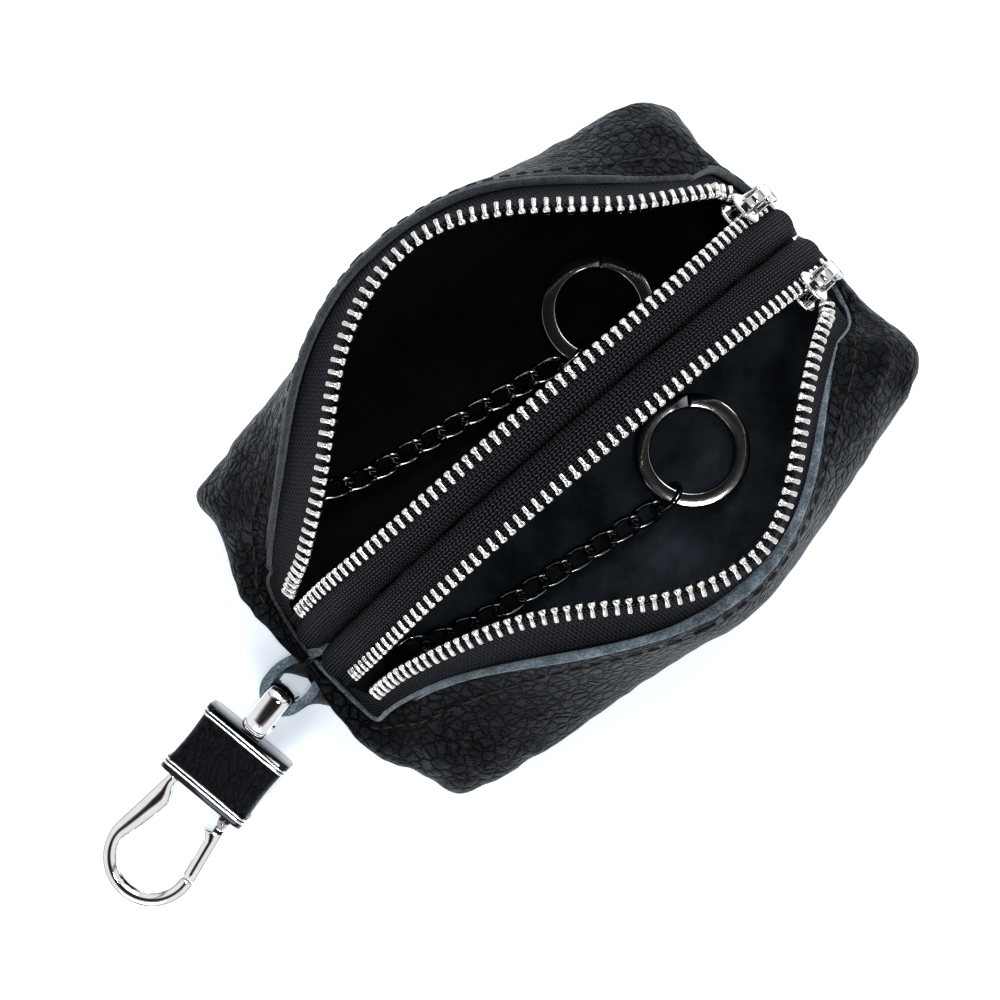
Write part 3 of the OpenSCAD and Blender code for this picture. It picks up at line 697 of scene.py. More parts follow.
def make_partition():
    """Padded panel between the pockets, thicker at mid height."""
    shape = Shape()
    across, up = 60, 16
    for s in SIGN:
        rows = []
        for j in range(up + 1):
            v = j / up
            row = []
            for i in range(across + 1):
                x = mix(-1, 1, i / across) * (CASE_LEN / 2 - 4)
                top = min(track_height(clamp(x, -TRACK_X, TRACK_X)) - 4.2, TRACK_TOP)
                z = mix(LEATHER_T + LINING_GAP, max(top, END_WALL_H - 3), v)
                bow = (0.8 if x > 0 else 4.5) * math.sin(math.pi * clamp(z / BELLY_Z))
                x_edge = CASE_LEN / 2 - 6.2 + bow
                x_edge += 2.2 * smooth((z - 12) / 3) if x > 0 else 0
                x = clamp(x, -x_edge, x_edge)
                bulge = 0.5 * math.sin(math.pi * v) * (1 - (x / x_edge) ** 4)
                row.append(Vector((x, s * (PARTITION_T / 2 - 0.1 + bulge * 0.3), z)))
            rows.append(row)
        shape.grid(rows, flip=s > 0)
    n = across + 1
    half = n * (up + 1)
    rim = [j * n for j in range(up + 1)] + [up * n + i for i in range(1, n)]
    rim += [j * n + n - 1 for j in range(up - 1, -1, -1)] + [i for i in range(n - 2, 0, -1)]
    for a, b in zip(rim, rim[1:] + rim[:1]):
        shape.faces.append((a, b, half + b, half + a))
        shape.slots.append(0)
    place(shape.solid("suede_partition", SUEDE), "case", "center_partition", slot="suede")


STITCH = 2.1
STITCH_GAP = 0.9
STITCH_R = 0.24
STITCH_LEVEL = 0.925          # share of the wall's height at which the stitches run
STITCH_SHAPE = ((0, 0.25), (0.08, 0.8), (0.3, 1.0), (0.7, 1.0), (0.92, 0.8), (1, 0.25))
RIM_BAND = (1.5, 1.7)         # width of the cut edge
RIM_BAND_T = 1.3


def make_stitches(side):
    """Row of thread stitches below the rim."""
    path = [shell_point(i / 400, STITCH_LEVEL, side, -0.05) for i in range(34, 367)]
    marks = []
    start, travelled = path[0], 0.0
    for a, b in zip(path, path[1:]):
        travelled += (b - a).length
        if travelled >= (STITCH_GAP if len(marks) % 2 else STITCH):
            marks.append((start, b))
            start, travelled = b, 0.0
    shape = Shape()
    for a, b in marks[::2]:
        ahead = (b - a).normalized()
        aside = ahead.cross(UP).normalized()
        upright = aside.cross(ahead)
        shape.sweep([[a.lerp(b, share) + (aside * cosd(60 * i) + upright * sind(60 * i)) * STITCH_R * thick
                      for i in range(6)] for share, thick in STITCH_SHAPE])
    follow(shape.piece(NAMES[side] + "_stitches", THREAD), side, shell_share)


def make_rim_band(side):
    """Cut edge of the leather, turned up along the mouth."""
    path = [shell_point(i / 300, 1.0, side, LEATHER_T * 0.45) for i in range(300)]
    rings = []
    for p, ahead, aside, up in frames_along(path):
        wide = RIM_BAND[side] + 0.5 * noise.noise(Vector((p.x * 0.06, side * 5.0, 0.0)))
        if side == RIGHT:
            wide += 1.3 * hump(p.x, -60, 6) + 0.7 * hump(p.x, 8, 13)
        section = rounded_section(wide, RIM_BAND_T, 0.55, steps=3)
        rings.append([p + aside * a + up * (b + 0.1) for a, b in section])
    # On the left this edge takes the painted-shade copy of the cut edge.
    follow(swept(rings).solid(NAMES[side] + "_cut_edge", EDGES[side]), side, shell_share)


for side in SIDES:
    make_shell(side)
    make_lining(side)
    make_stitches(side)
    make_rim_band(side)
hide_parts("outer_leather")
make_partition()

# Zips


def on_track(angle, y, up=0.0):
    r = TRACK_R + up
    return Vector((r * sind(angle), y, TRACK_Z + r * cosd(angle)))


def row_y(angle, side):
    """Distance of the inner row from the middle line."""
    share = max(0.0, 1 - (angle / (TRACK_SLOPE - 6)) ** 2)
    return INNER_ROW_Y - ROW_BEND[side] * smooth(share)


HUMP_R = 3.6                  # the inner tape's bulge over the partition
HUMP_TOP = 3.9                # y of that bulge's middle
TAPE_PAST = 6.2               # the tape runs on down the clip end by this angle
INNER_EDGE = ((0.75, -0.1), (0.62, 0.38), (0.1, 0.55), (-0.5, 0.4), (-1.3, 0.15))
END_RUN = 5.0                 # the open row runs on this far, into the slider
END_DRAW = 3.6
START_RUN = 4.0               # its tape starts this far before the row, down the clip end
START_DRAW = 4.6
TAPE_LEVELS = (0.93, 0.99)    # shares of the wall's height where the outer tape is sewn in
ROW_DRAW = ((2.4, 3.6, -38, 16), (0.8, 5.0, -22, 20))  # even part, extra, its place and its length


def track_frame(angle):
    """Directions along the track and square to it."""
    return Vector((cosd(angle), 0, -sind(angle))), Vector((sind(angle), 0, cosd(angle)))


def tape_places(run, top):
    """Place on the weave of a tape's ring, by its run along the tape and its width."""
    width = run_along(top)
    return [(run, w) for w in width + width[::-1]]


def row_share(p, side):
    return lip_share(p.x, side)


def make_inner_tape(side):
    """Tape that bulges from the teeth over the partition and down its middle."""
    steps = 120
    rings, places = [], []
    for i in range(steps + 1):
        angle = mix(-TRACK_SLOPE - TAPE_PAST, TRACK_SLOPE, i / steps)
        y_row = row_y(angle, side)
        narrow = (y_row - 1.2) / (INNER_ROW_Y - 1.2)
        sag = 0.35 * noise.noise(Vector((angle * 0.12, side * 4.0, 0.5)))
        top = [(y_row + y, up) for y, up in INNER_EDGE]
        for k in range(15):
            turn = mix(38, 192, k / 14)
            y = 0.25 + (HUMP_TOP - 0.25 + HUMP_R * cosd(turn)) * narrow
            top.append((y, -1.9 + HUMP_R * sind(turn) + sag * sind(turn)))
        top.append((0.02, -2.8))
        under = [(y, up - TAPE_T) for y, up in reversed(top)]
        rings.append([on_track(angle, SIGN[side] * y, up) for y, up in top + under])
        places.append(tape_places(math.radians(angle) * TRACK_R, top))
    piece = swept(rings, places=places).solid(NAMES[side] + "_woven_inner_tape", TAPE)
    place(piece, "case", NAMES[side] + "_inner_tape", slot="zip_tape")


def row_draw(x, side):
    """How much further in the open row hangs than its lip's even sweep."""
    ends = smooth((x - LIP_START_X + 4) / 14) * smooth((LIP_END_X - x) / 18)
    even, extra, middle, length = ROW_DRAW[side]
    return ends * (even + extra * hump(x, middle, length))


def lip_point(x, side):
    """Point of the open row's line, with its run into the slider and its tape's start."""
    beyond, before = max(0.0, x - LIP_END_X), max(0.0, LIP_START_X - x)
    on_row = clamp(x, LIP_START_X, LIP_END_X)
    y = mouth_y(on_row, side) - row_draw(on_row, side) - END_DRAW * smooth(beyond / END_RUN)
    y -= START_DRAW * smooth(before / START_RUN)
    z = mix(mouth_z(on_row, side), track_height(x), min(1, (beyond + before) / 2))
    return Vector((x, SIGN[side] * y, z))


def make_outer_tape(side):
    """Strip from inside the leather's rim up to the open teeth."""
    steps = 130
    toward = Vector((0, -SIGN[side], 0))
    rings, line = [], []
    for i in range(steps + 1):
        x = mix(LIP_START_X - START_RUN, LIP_END_X + END_RUN, i / steps)
        c = math.degrees(math.acos(clamp(signed_pow(x / rim_reach(x), 1 / RIM_POWER[x < 0]), -1, 1)))
        root = shell_point(c / 180, TAPE_LEVELS[0], side, LEATHER_T + 0.25, False)
        rim = shell_point(c / 180, TAPE_LEVELS[1], side, LEATHER_T + 0.1, False)
        teeth = lip_point(x, side)
        top = [root, rim, rim.lerp(teeth, 0.45) + UP * 0.5, teeth - toward * 1.2 + UP * 0.2,
               teeth - toward * 0.3 + UP * 0.5, teeth + toward * 0.35 + UP * 0.25]
        rings.append(top + [p - UP * TAPE_T + toward * 0.25 for p in reversed(top)])
        line.append(teeth)
    places = [tape_places(run, ring[:6]) for run, ring in zip(run_along(line), rings)]
    # The outer strips take the painted-shade copy of the tape.
    piece = refine(swept(rings, places=places).solid(NAMES[side] + "_woven_outer_tape", PAINTED_SHADE_TAPE))
    follow(piece, side, row_share)
    place(piece, None, NAMES[side] + "_outer_tape", slot="zip_tape")


# One tooth's stations from root to head: y, half width, half height, lift
TOOTH_SHAPE = ((-1.62, 0.44, 0.8, 0.0), (-1.5, 0.5, 1.0, 0.0), (-0.6, 0.5, 1.1, 0.05),
               (0.3, 0.46, 1.05, 0.05), (0.42, 0.5, 0.95, 0.0), (0.55, 0.76, 0.95, 0.04),
               (0.95, 0.8, 0.98, 0.08), (1.3, 0.72, 0.8, 0.02), (1.48, 0.5, 0.45, 0.0))


def tooth_points():
    rings = []
    for y, w, h, lift in TOOTH_SHAPE:
        ring = [(w * 0.72, h), (w, h * 0.7), (w, -h * 0.7), (w * 0.72, -h)]
        ring += [(-x, z) for x, z in reversed(ring)]
        rings.append([Vector((x, y, z + lift)) for x, z in ring])
    return rings


TOOTH = tooth_points()


def add_tooth(shape, middle, ahead, headed, upright):
    """Places a tooth with its row along ahead and its head along headed."""
    turn = Matrix((ahead, headed, upright)).transposed()
    shape.sweep([[middle + turn @ p for p in ring] for ring in TOOTH])


def add_track_tooth(shape, angle, y, side):
    ahead, upright = track_frame(angle)
    add_tooth(shape, on_track(angle, SIGN[side] * y), ahead, Vector((0, SIGN[side], 0)), upright)


def make_inner_teeth(side):
    step = math.degrees(TOOTH_PITCH / TRACK_R)
    count = int(2 * (TRACK_SLOPE - 1.7) / step)
    shape = Shape()
    for i in range(count):
        angle = (i - (count - 1) / 2) * step
        add_track_tooth(shape, angle, row_y(angle, side), side)
    piece = refine(shape.solid(NAMES[side] + "_inner_row", TEETH))
    place(piece, "case", NAMES[side] + "_inner_teeth", slot="zip_metal")


def lip_stations(side, samples=300):
    """Arc length along the open row, as pairs of length and x."""
    table = [(0.0, LIP_START_X)]
    for i in range(1, samples + 1):
        x = mix(LIP_START_X, LIP_END_X + END_RUN - 1.5, i / samples)
        table.append((table[-1][0] + (lip_point(x, side) - lip_point(table[-1][1], side)).length, x))
    return table


HEAD_RISE = 12                # the open row's heads point up by this angle


def make_outer_teeth(side):
    table = lip_stations(side)
    run = table[-1][0] - 1.6
    count = int(run / TOOTH_PITCH)
    shape = Shape()
    at = 0
    for i in range(count):
        s = 1.5 + (i + 0.5) * run / count
        while table[at + 1][0] < s:
            at += 1
        (s0, x0), (s1, x1) = table[at], table[at + 1]
        x = mix(x0, x1, (s - s0) / (s1 - s0))
        ahead = (lip_point(x + 0.5, side) - lip_point(x - 0.5, side)).normalized()
        headed = UP.cross(ahead).normalized() * -SIGN[side]
        upright = upward(headed.cross(ahead))
        headed = (headed * cosd(HEAD_RISE) + upright * sind(HEAD_RISE)).normalized()
        add_tooth(shape, lip_point(x, side), ahead, headed, upward(headed.cross(ahead)))
    piece = follow(refine(shape.solid(NAMES[side] + "_outer_row", TEETH)), side, row_share)
    place(piece, None, NAMES[side] + "_outer_teeth", slot="zip_metal")


def upward(v):
    """Unit vector along v or against it, whichever points up."""
    v = v.normalized()
    return v * math.copysign(1, v.z)


STAPLE_BACK = 0.8
STAPLE_SHAPE = ((-2.7, 0.5), (-2.4, 1.0), (2.4, 1.0), (2.7, 0.5))  # stations: y, and share of the section


def make_stops():
    """Each inner row ends in two blind teeth at the clip end, and in a staple at the slider end."""
    shape = Shape()
    for side in SIDES:
        for back in (1.6, 0.2):
            add_track_tooth(shape, -TRACK_SLOPE + back, INNER_ROW_Y, side)
    place(refine(shape.solid("blind_teeth", TEETH)), "case", "top_stops", slot="zip_metal")
    shape = Shape()
    angle = TRACK_SLOPE - STAPLE_BACK
    ahead, upright = track_frame(angle)
    section = rounded_section(1.5, 2.4, 0.5)
    for side in SIDES:
        shape.sweep([[on_track(angle, SIGN[side] * (INNER_ROW_Y + 0.6 + y)) + ahead * a * wide
                      + upright * b * wide for a, b in section] for y, wide in STAPLE_SHAPE])
    place(shape.solid("bottom_staples", TEETH), "case", "bottom_stops", slot="zip_metal")


make_stops()
for side in SIDES:
    make_inner_tape(side)
    make_outer_tape(side)
    make_inner_teeth(side)
    make_outer_teeth(side)

# Key chains

LINKS = 10
LINK_WIRE = 1.2
LINK_PITCH = 5.5
LINK_WID = 3.9
LINK_PLAY = 0.35
LINK_A = (LINK_PITCH + LINK_WIRE + LINK_PLAY) / 2
FLOOR_Z = LEATHER_T + LINING_GAP + LINING_T
END_RING_R = 3.4
END_TILT = 62
CHAIN_Z = FLOOR_Z + 0.3 + END_RING_R * sind(END_TILT) + LINK_WIRE / 2
CHAIN_IN = (20.6, 16.4)       # first link's hook from the case's clip end
CHAIN_OUT = (0.31, 0.162)     # and from its middle line, as a share of its width
YAW_FROM = (-31, -24)         # heading of each chain's first link
YAW_TO = (-10.5, -8)          # and of its links once it has turned
TURN_LINKS = (3, 4)
END_TURN = (13, 15)           # turn of the end ring from the last link
RING_SWING = (26, 30)         # and of the split ring
RING_DIP = 5
RING_TILT = 45                # the anchor ring's
ANCHOR_WIRE = 1.3
ANCHOR_R = 3.3
HOOK_PLAY = 0.3
RING_OD = 23.4
RING_BAND = 3.1
RING_H = 1.8
RING_WOUND = 724              # degrees that the split ring's wire is wound through
RING_START = 28
ANCHOR_BACK = ANCHOR_R - (ANCHOR_WIRE / 2 + LINK_WIRE / 2 + HOOK_PLAY) / 2
END_AHEAD = END_RING_R - (LINK_WIRE + HOOK_PLAY) / 2
BAND_AHEAD = END_AHEAD + END_RING_R - LINK_WIRE / 2 - RING_BAND / 2 - 0.5


def chain_yaw(k, i):
    return YAW_FROM[k] + (YAW_TO[k] - YAW_FROM[k]) * min(1, i / TURN_LINKS[k])


def hook(k, i):
    p = Vector((-CASE_LEN / 2 + CHAIN_IN[k], SIGN[k] * CHAIN_OUT[k] * CASE_WID, CHAIN_Z))
    for j in range(1, i):
        p += LINK_PITCH * polar(1, chain_yaw(k, j))
    return p


def turned(z=0, y=0, x=0):
    return (Matrix.Rotation(math.radians(z), 4, "Z") @ Matrix.Rotation(math.radians(y), 4, "Y")
            @ Matrix.Rotation(math.radians(x), 4, "X"))


def moved(x, y=0, z=0):
    return Matrix.Translation((x, y, z))


def at_link(k, i):
    yaw = chain_yaw(k, i)
    return Matrix.Translation(hook(k, i) + LINK_PITCH / 2 * polar(1, yaw)) @ turned(z=yaw)


def wire_loop(path, radius, sides=14):
    """Round wire along a closed path."""
    rings = []
    for i, p in enumerate(path):
        ahead = (path[(i + 1) % len(path)] - path[i - 1]).normalized()
        aside = ahead.cross(Vector((0.01, 0.02, 1))).normalized()
        upright = aside.cross(ahead)
        rings.append([p + (aside * cosd(360 * j / sides) + upright * sind(360 * j / sides)) * radius
                      for j in range(sides)])
    return swept(rings, closed=True)


def wire_ring(radius, wire, name, node, turn):
    """Round ring of wire in place of a CAD node that is its own body."""
    loop = wire_loop([polar(radius, 360 * i / 64) for i in range(64)], wire / 2)
    place(loop.solid(name, NICKEL, turn=turn), node, node, slot="black_nickel")


def make_links(k):
    path = [Vector((LINK_A * cosd(a), LINK_WID / 2 * sind(a), LINK_WID / 4 * sind(2 * a)))
            for a in range(0, 360, 6)]
    for i in range(1, LINKS + 1):
        name = f"{NAMES[k]}_link_{i}"
        piece = wire_loop(path, LINK_WIRE / 2).solid(name + "_wire", NICKEL, turn=at_link(k, i))
        place(piece, name, name, slot="black_nickel")


def make_end_rings(k):
    name = NAMES[k]
    turn = at_link(k, 1) @ turned(x=RING_TILT) @ moved(-LINK_PITCH / 2 - ANCHOR_BACK)
    wire_ring(ANCHOR_R, ANCHOR_WIRE, name + "_anchor_wire", name + "_anchor_ring", turn)
    ahead = at_link(k, LINKS) @ moved(LINK_PITCH / 2) @ turned(z=END_TURN[k])
    turn = ahead @ moved(END_AHEAD) @ turned(x=-END_TILT)
    wire_ring(END_RING_R, LINK_WIRE, name + "_end_wire", name + "_end_ring", turn)
    make_split_ring(k, ahead)


def make_split_ring(k, ahead):
    """Two turns of flat wire: the section follows both, with the cross-over on the far side."""
    mid_r = (RING_OD - RING_BAND) / 2
    turn = (ahead @ moved(BAND_AHEAD) @ turned(z=RING_SWING[k] - END_TURN[k])
            @ turned(y=RING_DIP) @ moved(mid_r))
    section = rounded_section(RING_BAND, RING_H / 2 - 0.03, 0.42, steps=5)
    steps = 180
    rings = []
    for i in range(steps + 1):
        share = i / steps
        angle = RING_WOUND * share + RING_START
        level = mix(-RING_H / 4, RING_H / 4, smooth((share - 0.47) / 0.06))
        rings.append([polar(mid_r + a, angle, level + b) for a, b in section])
    name = NAMES[k] + "_split_ring"
    place(swept(rings).solid(name + "_wire", NICKEL, turn=turn), name, name, slot="black_nickel")


TAB_WIDE = 2.4
TAB_TAIL = 3.2
TAB_OUT = 2.3
TAB_IN = 1.3


def make_anchor_tab(k):
    """Folded suede tab round the anchor ring, sewn to the wall behind."""
    turn = (at_link(k, 1) @ turned(x=RING_TILT)
            @ moved(-LINK_PITCH / 2 - ANCHOR_BACK - ANCHOR_R))
    outline, hollow = [
        [(-TAB_TAIL, tail)] + [(r * sind(a), r * cosd(a)) for a in range(0, 181, 15)] + [(-TAB_TAIL, -tail)]
        for r, tail in ((TAB_OUT, TAB_OUT), (TAB_IN, TAB_IN - 0.6))]
    w = TAB_WIDE / 2
    rings = [[Vector((x, y, z)) for (x, z), y in ((o, -w), (o, w), (h, w), (h, -w))]
             for o, h in zip(outline, hollow)]
    name = NAMES[k] + "_anchor_tab"
    piece = swept(rings).solid(name + "_strap", SUEDE, turn=turn)
    place(bevel(piece, 0.2), "case", name, slot="suede")


for k in SIDES:
    make_links(k)
    make_end_rings(k)
    make_anchor_tab(k)

# Clip

CLIP_OUT = 11.2
CLIP_AT = Vector((-CASE_LEN / 2 - CLIP_OUT, -1.4, 7.2))
CLIP_YAW = 190
CLIP = Matrix.Translation(CLIP_AT) @ turned(z=CLIP_YAW)
LOOP_IN = 3.0
LOOP_T = 1.6
LOOP_H = 9.6
EYE_LEN = 12.0
EYE_WID = 5.4
EYE_T = 1.6
EYE_H = LOOP_H + 0.8 + 2 * EYE_T
COLLAR_WID = 21.5
COLLAR_H = 9.0
COLLAR_T = 2.6
SLEEVE_LEN = 11.2
SLEEVE_IN = (1.4, 0.6)        # how much narrower and lower than the collars it is
SLEEVE_WAIST = 0.5
BOW_WID = 21.5
BOW_BAR = 3.3
BOW_H = 4.4
GATE_LEN = 13.4
LEG_TILT = 8.5
COLLAR_X = EYE_LEN - EYE_T / 2 + 0.35
SLEEVE_X = COLLAR_X + COLLAR_T
LOW_COLLAR_X = SLEEVE_X + SLEEVE_LEN
BOW_X = LOW_COLLAR_X + COLLAR_T
BOW_R = (BOW_WID - BOW_BAR) / 2
GATE_X = BOW_X + 1.9
BOW_CX = GATE_X + GATE_LEN * cosd(LEG_TILT) + BOW_R * sind(LEG_TILT)
GATE_Y = BOW_R * cosd(LEG_TILT) - GATE_LEN * sind(LEG_TILT)
BAR_WID = 3.9                 # width of the bow and gate away from their ends
BOSS_R = 1.75
BOSS_H = 2.2
# Half of the loop's path from the wall to the eye
LOOP_ARM = ((17.2, 0.9), (13.5, 1.0), (10.5, 1.4), (7.4, 2.9), (4.4, 4.0), (2.0, 4.25))
# The tongue is partly the loop's folded end and partly a leather sheet that fills the loop's shaded inside:
# painted shade.
TONGUE = ((-6.0, 1.0), (-5.6, 0.2), (-5.0, 0.0), (-4.2, 0.1), (-3.7, 0.6), (-3.5, 1.4))  # z, inset


def strap(path, height, thick, lean):
    """Leather strap on edge along a path: its faces take the first material, its cut edges the second."""
    shape = Shape()
    corners = []
    for p, ahead, aside, up in frames_along(path):
        a, z = aside * thick / 2, Vector((0, 0, height / 2))
        out = Vector((0, lean(p), 0))
        corners.append((p + a - z + out, p + a + z, p - a + z, p - a - z + out))
    for side, cuts in enumerate((6, 2, 6, 2)):
        shape.grid([[c[side].lerp(c[(side + 1) % 4], j / cuts) for c in corners] for j in range(cuts + 1)],
                   side % 2)
    for end in (0, -1):
        shape.add(list(corners[end]), [(0, 1, 2, 3)], 1)
    return shape


def make_hang_loop():
    """Strap round the eye, from the wall's seam and back to it, with a rounded tongue beneath."""
    nose = [polar((LOOP_IN + LOOP_T / 2) * 1.05, a) for a in range(95, 266, 17)]
    path = [Vector((x, y, 0)) for x, y in LOOP_ARM] + nose
    path += [Vector((x, -y, 0)) for x, y in reversed(LOOP_ARM)]

    def lean(p):
        return -4.2 * smooth((p.x - 0.8) / 3.6) * smooth((14 - p.x) / 6)

    shape = strap(rounded_path(path, 6), LOOP_H, LOOP_T + 0.5, lean)
    # Tongue beneath the loop: partly its folded end, partly a sheet standing in for the shade inside the
    # loop.
    shape.sweep([[Vector((11 + (7.5 - inset) * cosd(a), -2.5 + (7 - inset) * sind(a), z))
                  for a in range(0, 360, 15)] for z, inset in TONGUE])
    turn = Matrix.Translation(CLIP_AT) @ turned(z=2)
    piece = outward(shape.solid("leather_hanging_loop", SMOOTH_LEATHER, RAW_EDGE, turn=turn), join=0.01)
    place(bevel(piece, 0.22), "case", "hang_loop", slot="leather")


def rounded_path(points, cuts):
    """Catmull-Rom curve through the points."""
    out = []
    for i in range(len(points) - 1):
        p0, p1 = points[max(0, i - 1)], points[i]
        p2, p3 = points[i + 1], points[min(len(points) - 1, i + 2)]
        for j in range(cuts):
            t = j / cuts
            out.append(0.5 * (2 * p1 + (p2 - p0) * t + (2 * p0 - 5 * p1 + 4 * p2 - p3) * t * t
                              + (3 * p1 - p0 - 3 * p2 + p3) * t ** 3))
    return out + [points[-1]]


# Section of the eye's band: share of its width, and of its thickness outward
EYE_SHAPE = ((-0.46, -0.5), (-0.5, -0.3), (-0.5, 0.05), (-0.42, 0.3), (-0.24, 0.48), (0, 0.56),
             (0.24, 0.48), (0.42, 0.3), (0.5, 0.05), (0.5, -0.3), (0.46, -0.5))


def make_eye():
    """Band of the swivel eye: a rounded rectangle that stands round the strap, domed outside."""
    centre = EYE_LEN / 2 - EYE_T / 2
    outline = rounded_section(EYE_LEN - EYE_T, EYE_H - EYE_T, 2.6, steps=8)
    rings = []
    for i, (x, z) in enumerate(outline):
        x0, z0 = outline[i - 1]
        x1, z1 = outline[(i + 1) % len(outline)]
        ahead = Vector((x1 - x0, 0, z1 - z0)).normalized()
        out = Vector((ahead.z, 0, -ahead.x))
        rings.append([Vector((centre + x, y * EYE_WID, z)) + out * depth * EYE_T for y, depth in EYE_SHAPE])
    piece = swept(rings, closed=True).solid("chrome_eye_band", CHROME, turn=CLIP)
    place(piece, "swivel_eye", "swivel_eye", slot="chrome")


# Profiles along a collar, as shares of its thickness and growth of its section
COLLAR_FOOT = [(0.0, -0.35), (0.03, -0.18), (0.07, -0.12)]
COLLAR_RIM = ((-0.115, 0), (-0.09, 0.02), (-0.06, 0.2), (0, 0.28), (0.06, 0.2), (0.09, 0.02), (0.115, 0))
COLLAR_END = [(0.985, -0.13), (1.0, -0.22)]


def make_collars():
    """Each collar is a body with two raised rims and a groove between them."""
    for name, x, rims in (("top_collar", COLLAR_X, (0.55, 0.86)),
                          ("bottom_collar", LOW_COLLAR_X, (0.19, 0.5))):
        both = [(at + d, -0.12 + rise) for at in rims for d, rise in COLLAR_RIM]
        rings = []
        for share, grow in COLLAR_FOOT + both + COLLAR_END:
            section = rounded_section(COLLAR_WID + 2 * grow - 0.3, COLLAR_H + 2 * grow - 0.3, 1.8, 5)
            rings.append([Vector((x + share * COLLAR_T, a, b)) for a, b in section])
        shape = swept(rings)
        # The flats take the near-black metal, a painted dark reflection; the rims' faces take the plain
        # chrome.
        around = len(rings[0])
        for j in range(4, len(rings) - 1):
            if j % 7 in (0, 4, 5, 6):
                shape.slots[j * around:(j + 1) * around] = [1] * around
        piece = shape.solid(name + "_plate", PAINTED_REFLECTION_CHROME, CHROME, turn=CLIP)
        place(piece, "ferrule", name, slot="chrome")


def make_sleeve():
    """Leather wrap between the collars, slightly waisted."""
    rings = []
    for i in range(25):
        share = i / 24
        waist = SLEEVE_WAIST * math.sin(math.pi * share)
        section = rounded_section(COLLAR_WID - SLEEVE_IN[0] - waist, COLLAR_H - SLEEVE_IN[1] - waist * 0.5,
                                  2.0, 8)
        rings.append([Vector((SLEEVE_X + 0.05 + share * (SLEEVE_LEN - 0.1), a, b)) for a, b in section])
    piece = swept(rings).solid("leather_wrap", SMOOTH_LEATHER, turn=CLIP)
    place(piece, "ferrule", "leather_sleeve", slot="leather")


def bow_path():
    """Middle line of the bow from one leg's foot round to the gate's nose."""
    leg = (BOW_CX - BOW_R * sind(LEG_TILT) - BOW_X) / cosd(LEG_TILT)
    low = -90 - LEG_TILT
    points = []
    for i in range(15):
        d = leg * (1 - i / 14)
        points.append(Vector((BOW_CX + BOW_R * cosd(low) - d * cosd(LEG_TILT),
                              BOW_R * sind(low) + d * sind(LEG_TILT), 0)))
    for i in range(1, 61):
        a = mix(low, 90 + LEG_TILT - 1, i / 60)
        points.append(Vector((BOW_CX + BOW_R * cosd(a), BOW_R * sind(a), 0)))
    return points


def bar_along(points, width_at, height_at, inward):
    """Oval bar whose outer edge stays where a bar of BOW_BAR has it; inward is the side it grows to."""
    rings = []
    for i, (p, ahead, aside, up) in enumerate(frames_along(points)):
        share = i / (len(points) - 1)
        width, height = width_at(share), height_at(share)
        middle = p + aside * inward * (width - BOW_BAR) / 2
        section = [(width / 2 * cosd(a), height / 2 * sind(a)) for a in range(0, 360, 12)]
        rings.append(ring_at(middle, aside, up, section))
    return rings


def make_bow():
    """Bow with a wide leg that narrows again at its foot."""
    def width_at(share):
        return BAR_WID + 1.5 * smooth((0.30 - share) / 0.22) - 2.2 * smooth((0.07 - share) / 0.05)

    def height_at(share):
        return BOW_H - 0.5 * smooth((0.1 - share) / 0.05)

    rings = bar_along(bow_path(), width_at, height_at, 1)
    place(swept(rings).solid("chrome_bow", CHROME, turn=CLIP), "ferrule", "bow", slot="chrome")


def make_gate():
    """Sprung leg of the bow: a narrow root in the ears, then a full bar."""
    points = [Vector((d, 0, 0))
              for d in (BOSS_R + 0.35, 2.6, 3.4, 4.4, 6.0, 8.0, 10.0, 12.0, GATE_LEN - 0.25)]

    def width_at(share):
        return BAR_WID - 1.4 * (1 - smooth(share / 0.08)) + 1.1 * hump(share, 0.14, 0.12)

    def height_at(share):
        return BOW_H - 0.5 * (1 - smooth(share / 0.25))

    shape = swept(bar_along(points, width_at, height_at, -1))
    shape.sweep([[polar(BOSS_R * cosd(t), a, 2.1 * sind(t)) for a in range(0, 360, 12)]
                 for t in range(-84, 85, 12)])
    section = rounded_section(2.4, BOSS_H, 0.3, 5)
    shape.sweep([[Vector((0.2 + d, a, b)) for a, b in section] for d in (0, BOSS_R + 0.9)])
    turn = CLIP @ moved(GATE_X, GATE_Y) @ turned(z=LEG_TILT)
    piece = shape.solid("chrome_gate", CHROME, turn=turn)
    place(bevel(piece, 0.1), "gate", "gate", slot="chrome")


make_hang_loop()
make_eye()
make_collars()
make_sleeve()
make_bow()
make_gate()

# Sliders and pulls

PLATE_GAP = TOOTH_H / 2 + 0.35
PLATE_T = 0.95
CROWN_HOLE = (1.15, 2.0)
SLIDER_SCALE = 0.88
SMALLER = Matrix.Scale(SLIDER_SCALE, 4)
PULL_AT = SLIDER_AT + math.degrees(SLIDER_SCALE * CROWN_HOLE[0] / TRACK_R)
PULL_UP = SLIDER_SCALE * (PLATE_GAP + 1 + CROWN_HOLE[1])
PULL_LIE = 24
PULL_LEN = 14.5
PLATE_OUTLINE = ((-5.5, 1.2), (-5.3, 2.8), (-4.6, 3.9), (-3.4, 4.0), (-2.5, 3.4), (-1.6, 2.75),
                 (4.3, 2.4), (5.2, 2.0), (5.5, 1.2))
DIAMOND = ((-5.0, 1.3), (-3.8, 2.1), (-2.4, 2.2), (-1.7, 1.5), (-2.4, 0.7), (-3.8, 0.7))
CROWN_ARCH = ((-3.2, 0), (-3.2, 1.6), (-2.7, 2.8), (-1.3, 3.5), (0.6, 3.65), (2.2, 3.3), (3.1, 2.3),
              (3.3, 1.2), (3.3, 0))


def at_track(angle, side, up=0.0):
    """Frame on the track: X along it, Y outward from the middle line, Z square to it."""
    turn = Matrix.Translation(on_track(angle, SIGN[side] * ZIP_Y, up)) @ turned(y=angle)
    return turn @ Matrix.Diagonal((1, SIGN[side], 1, 1))


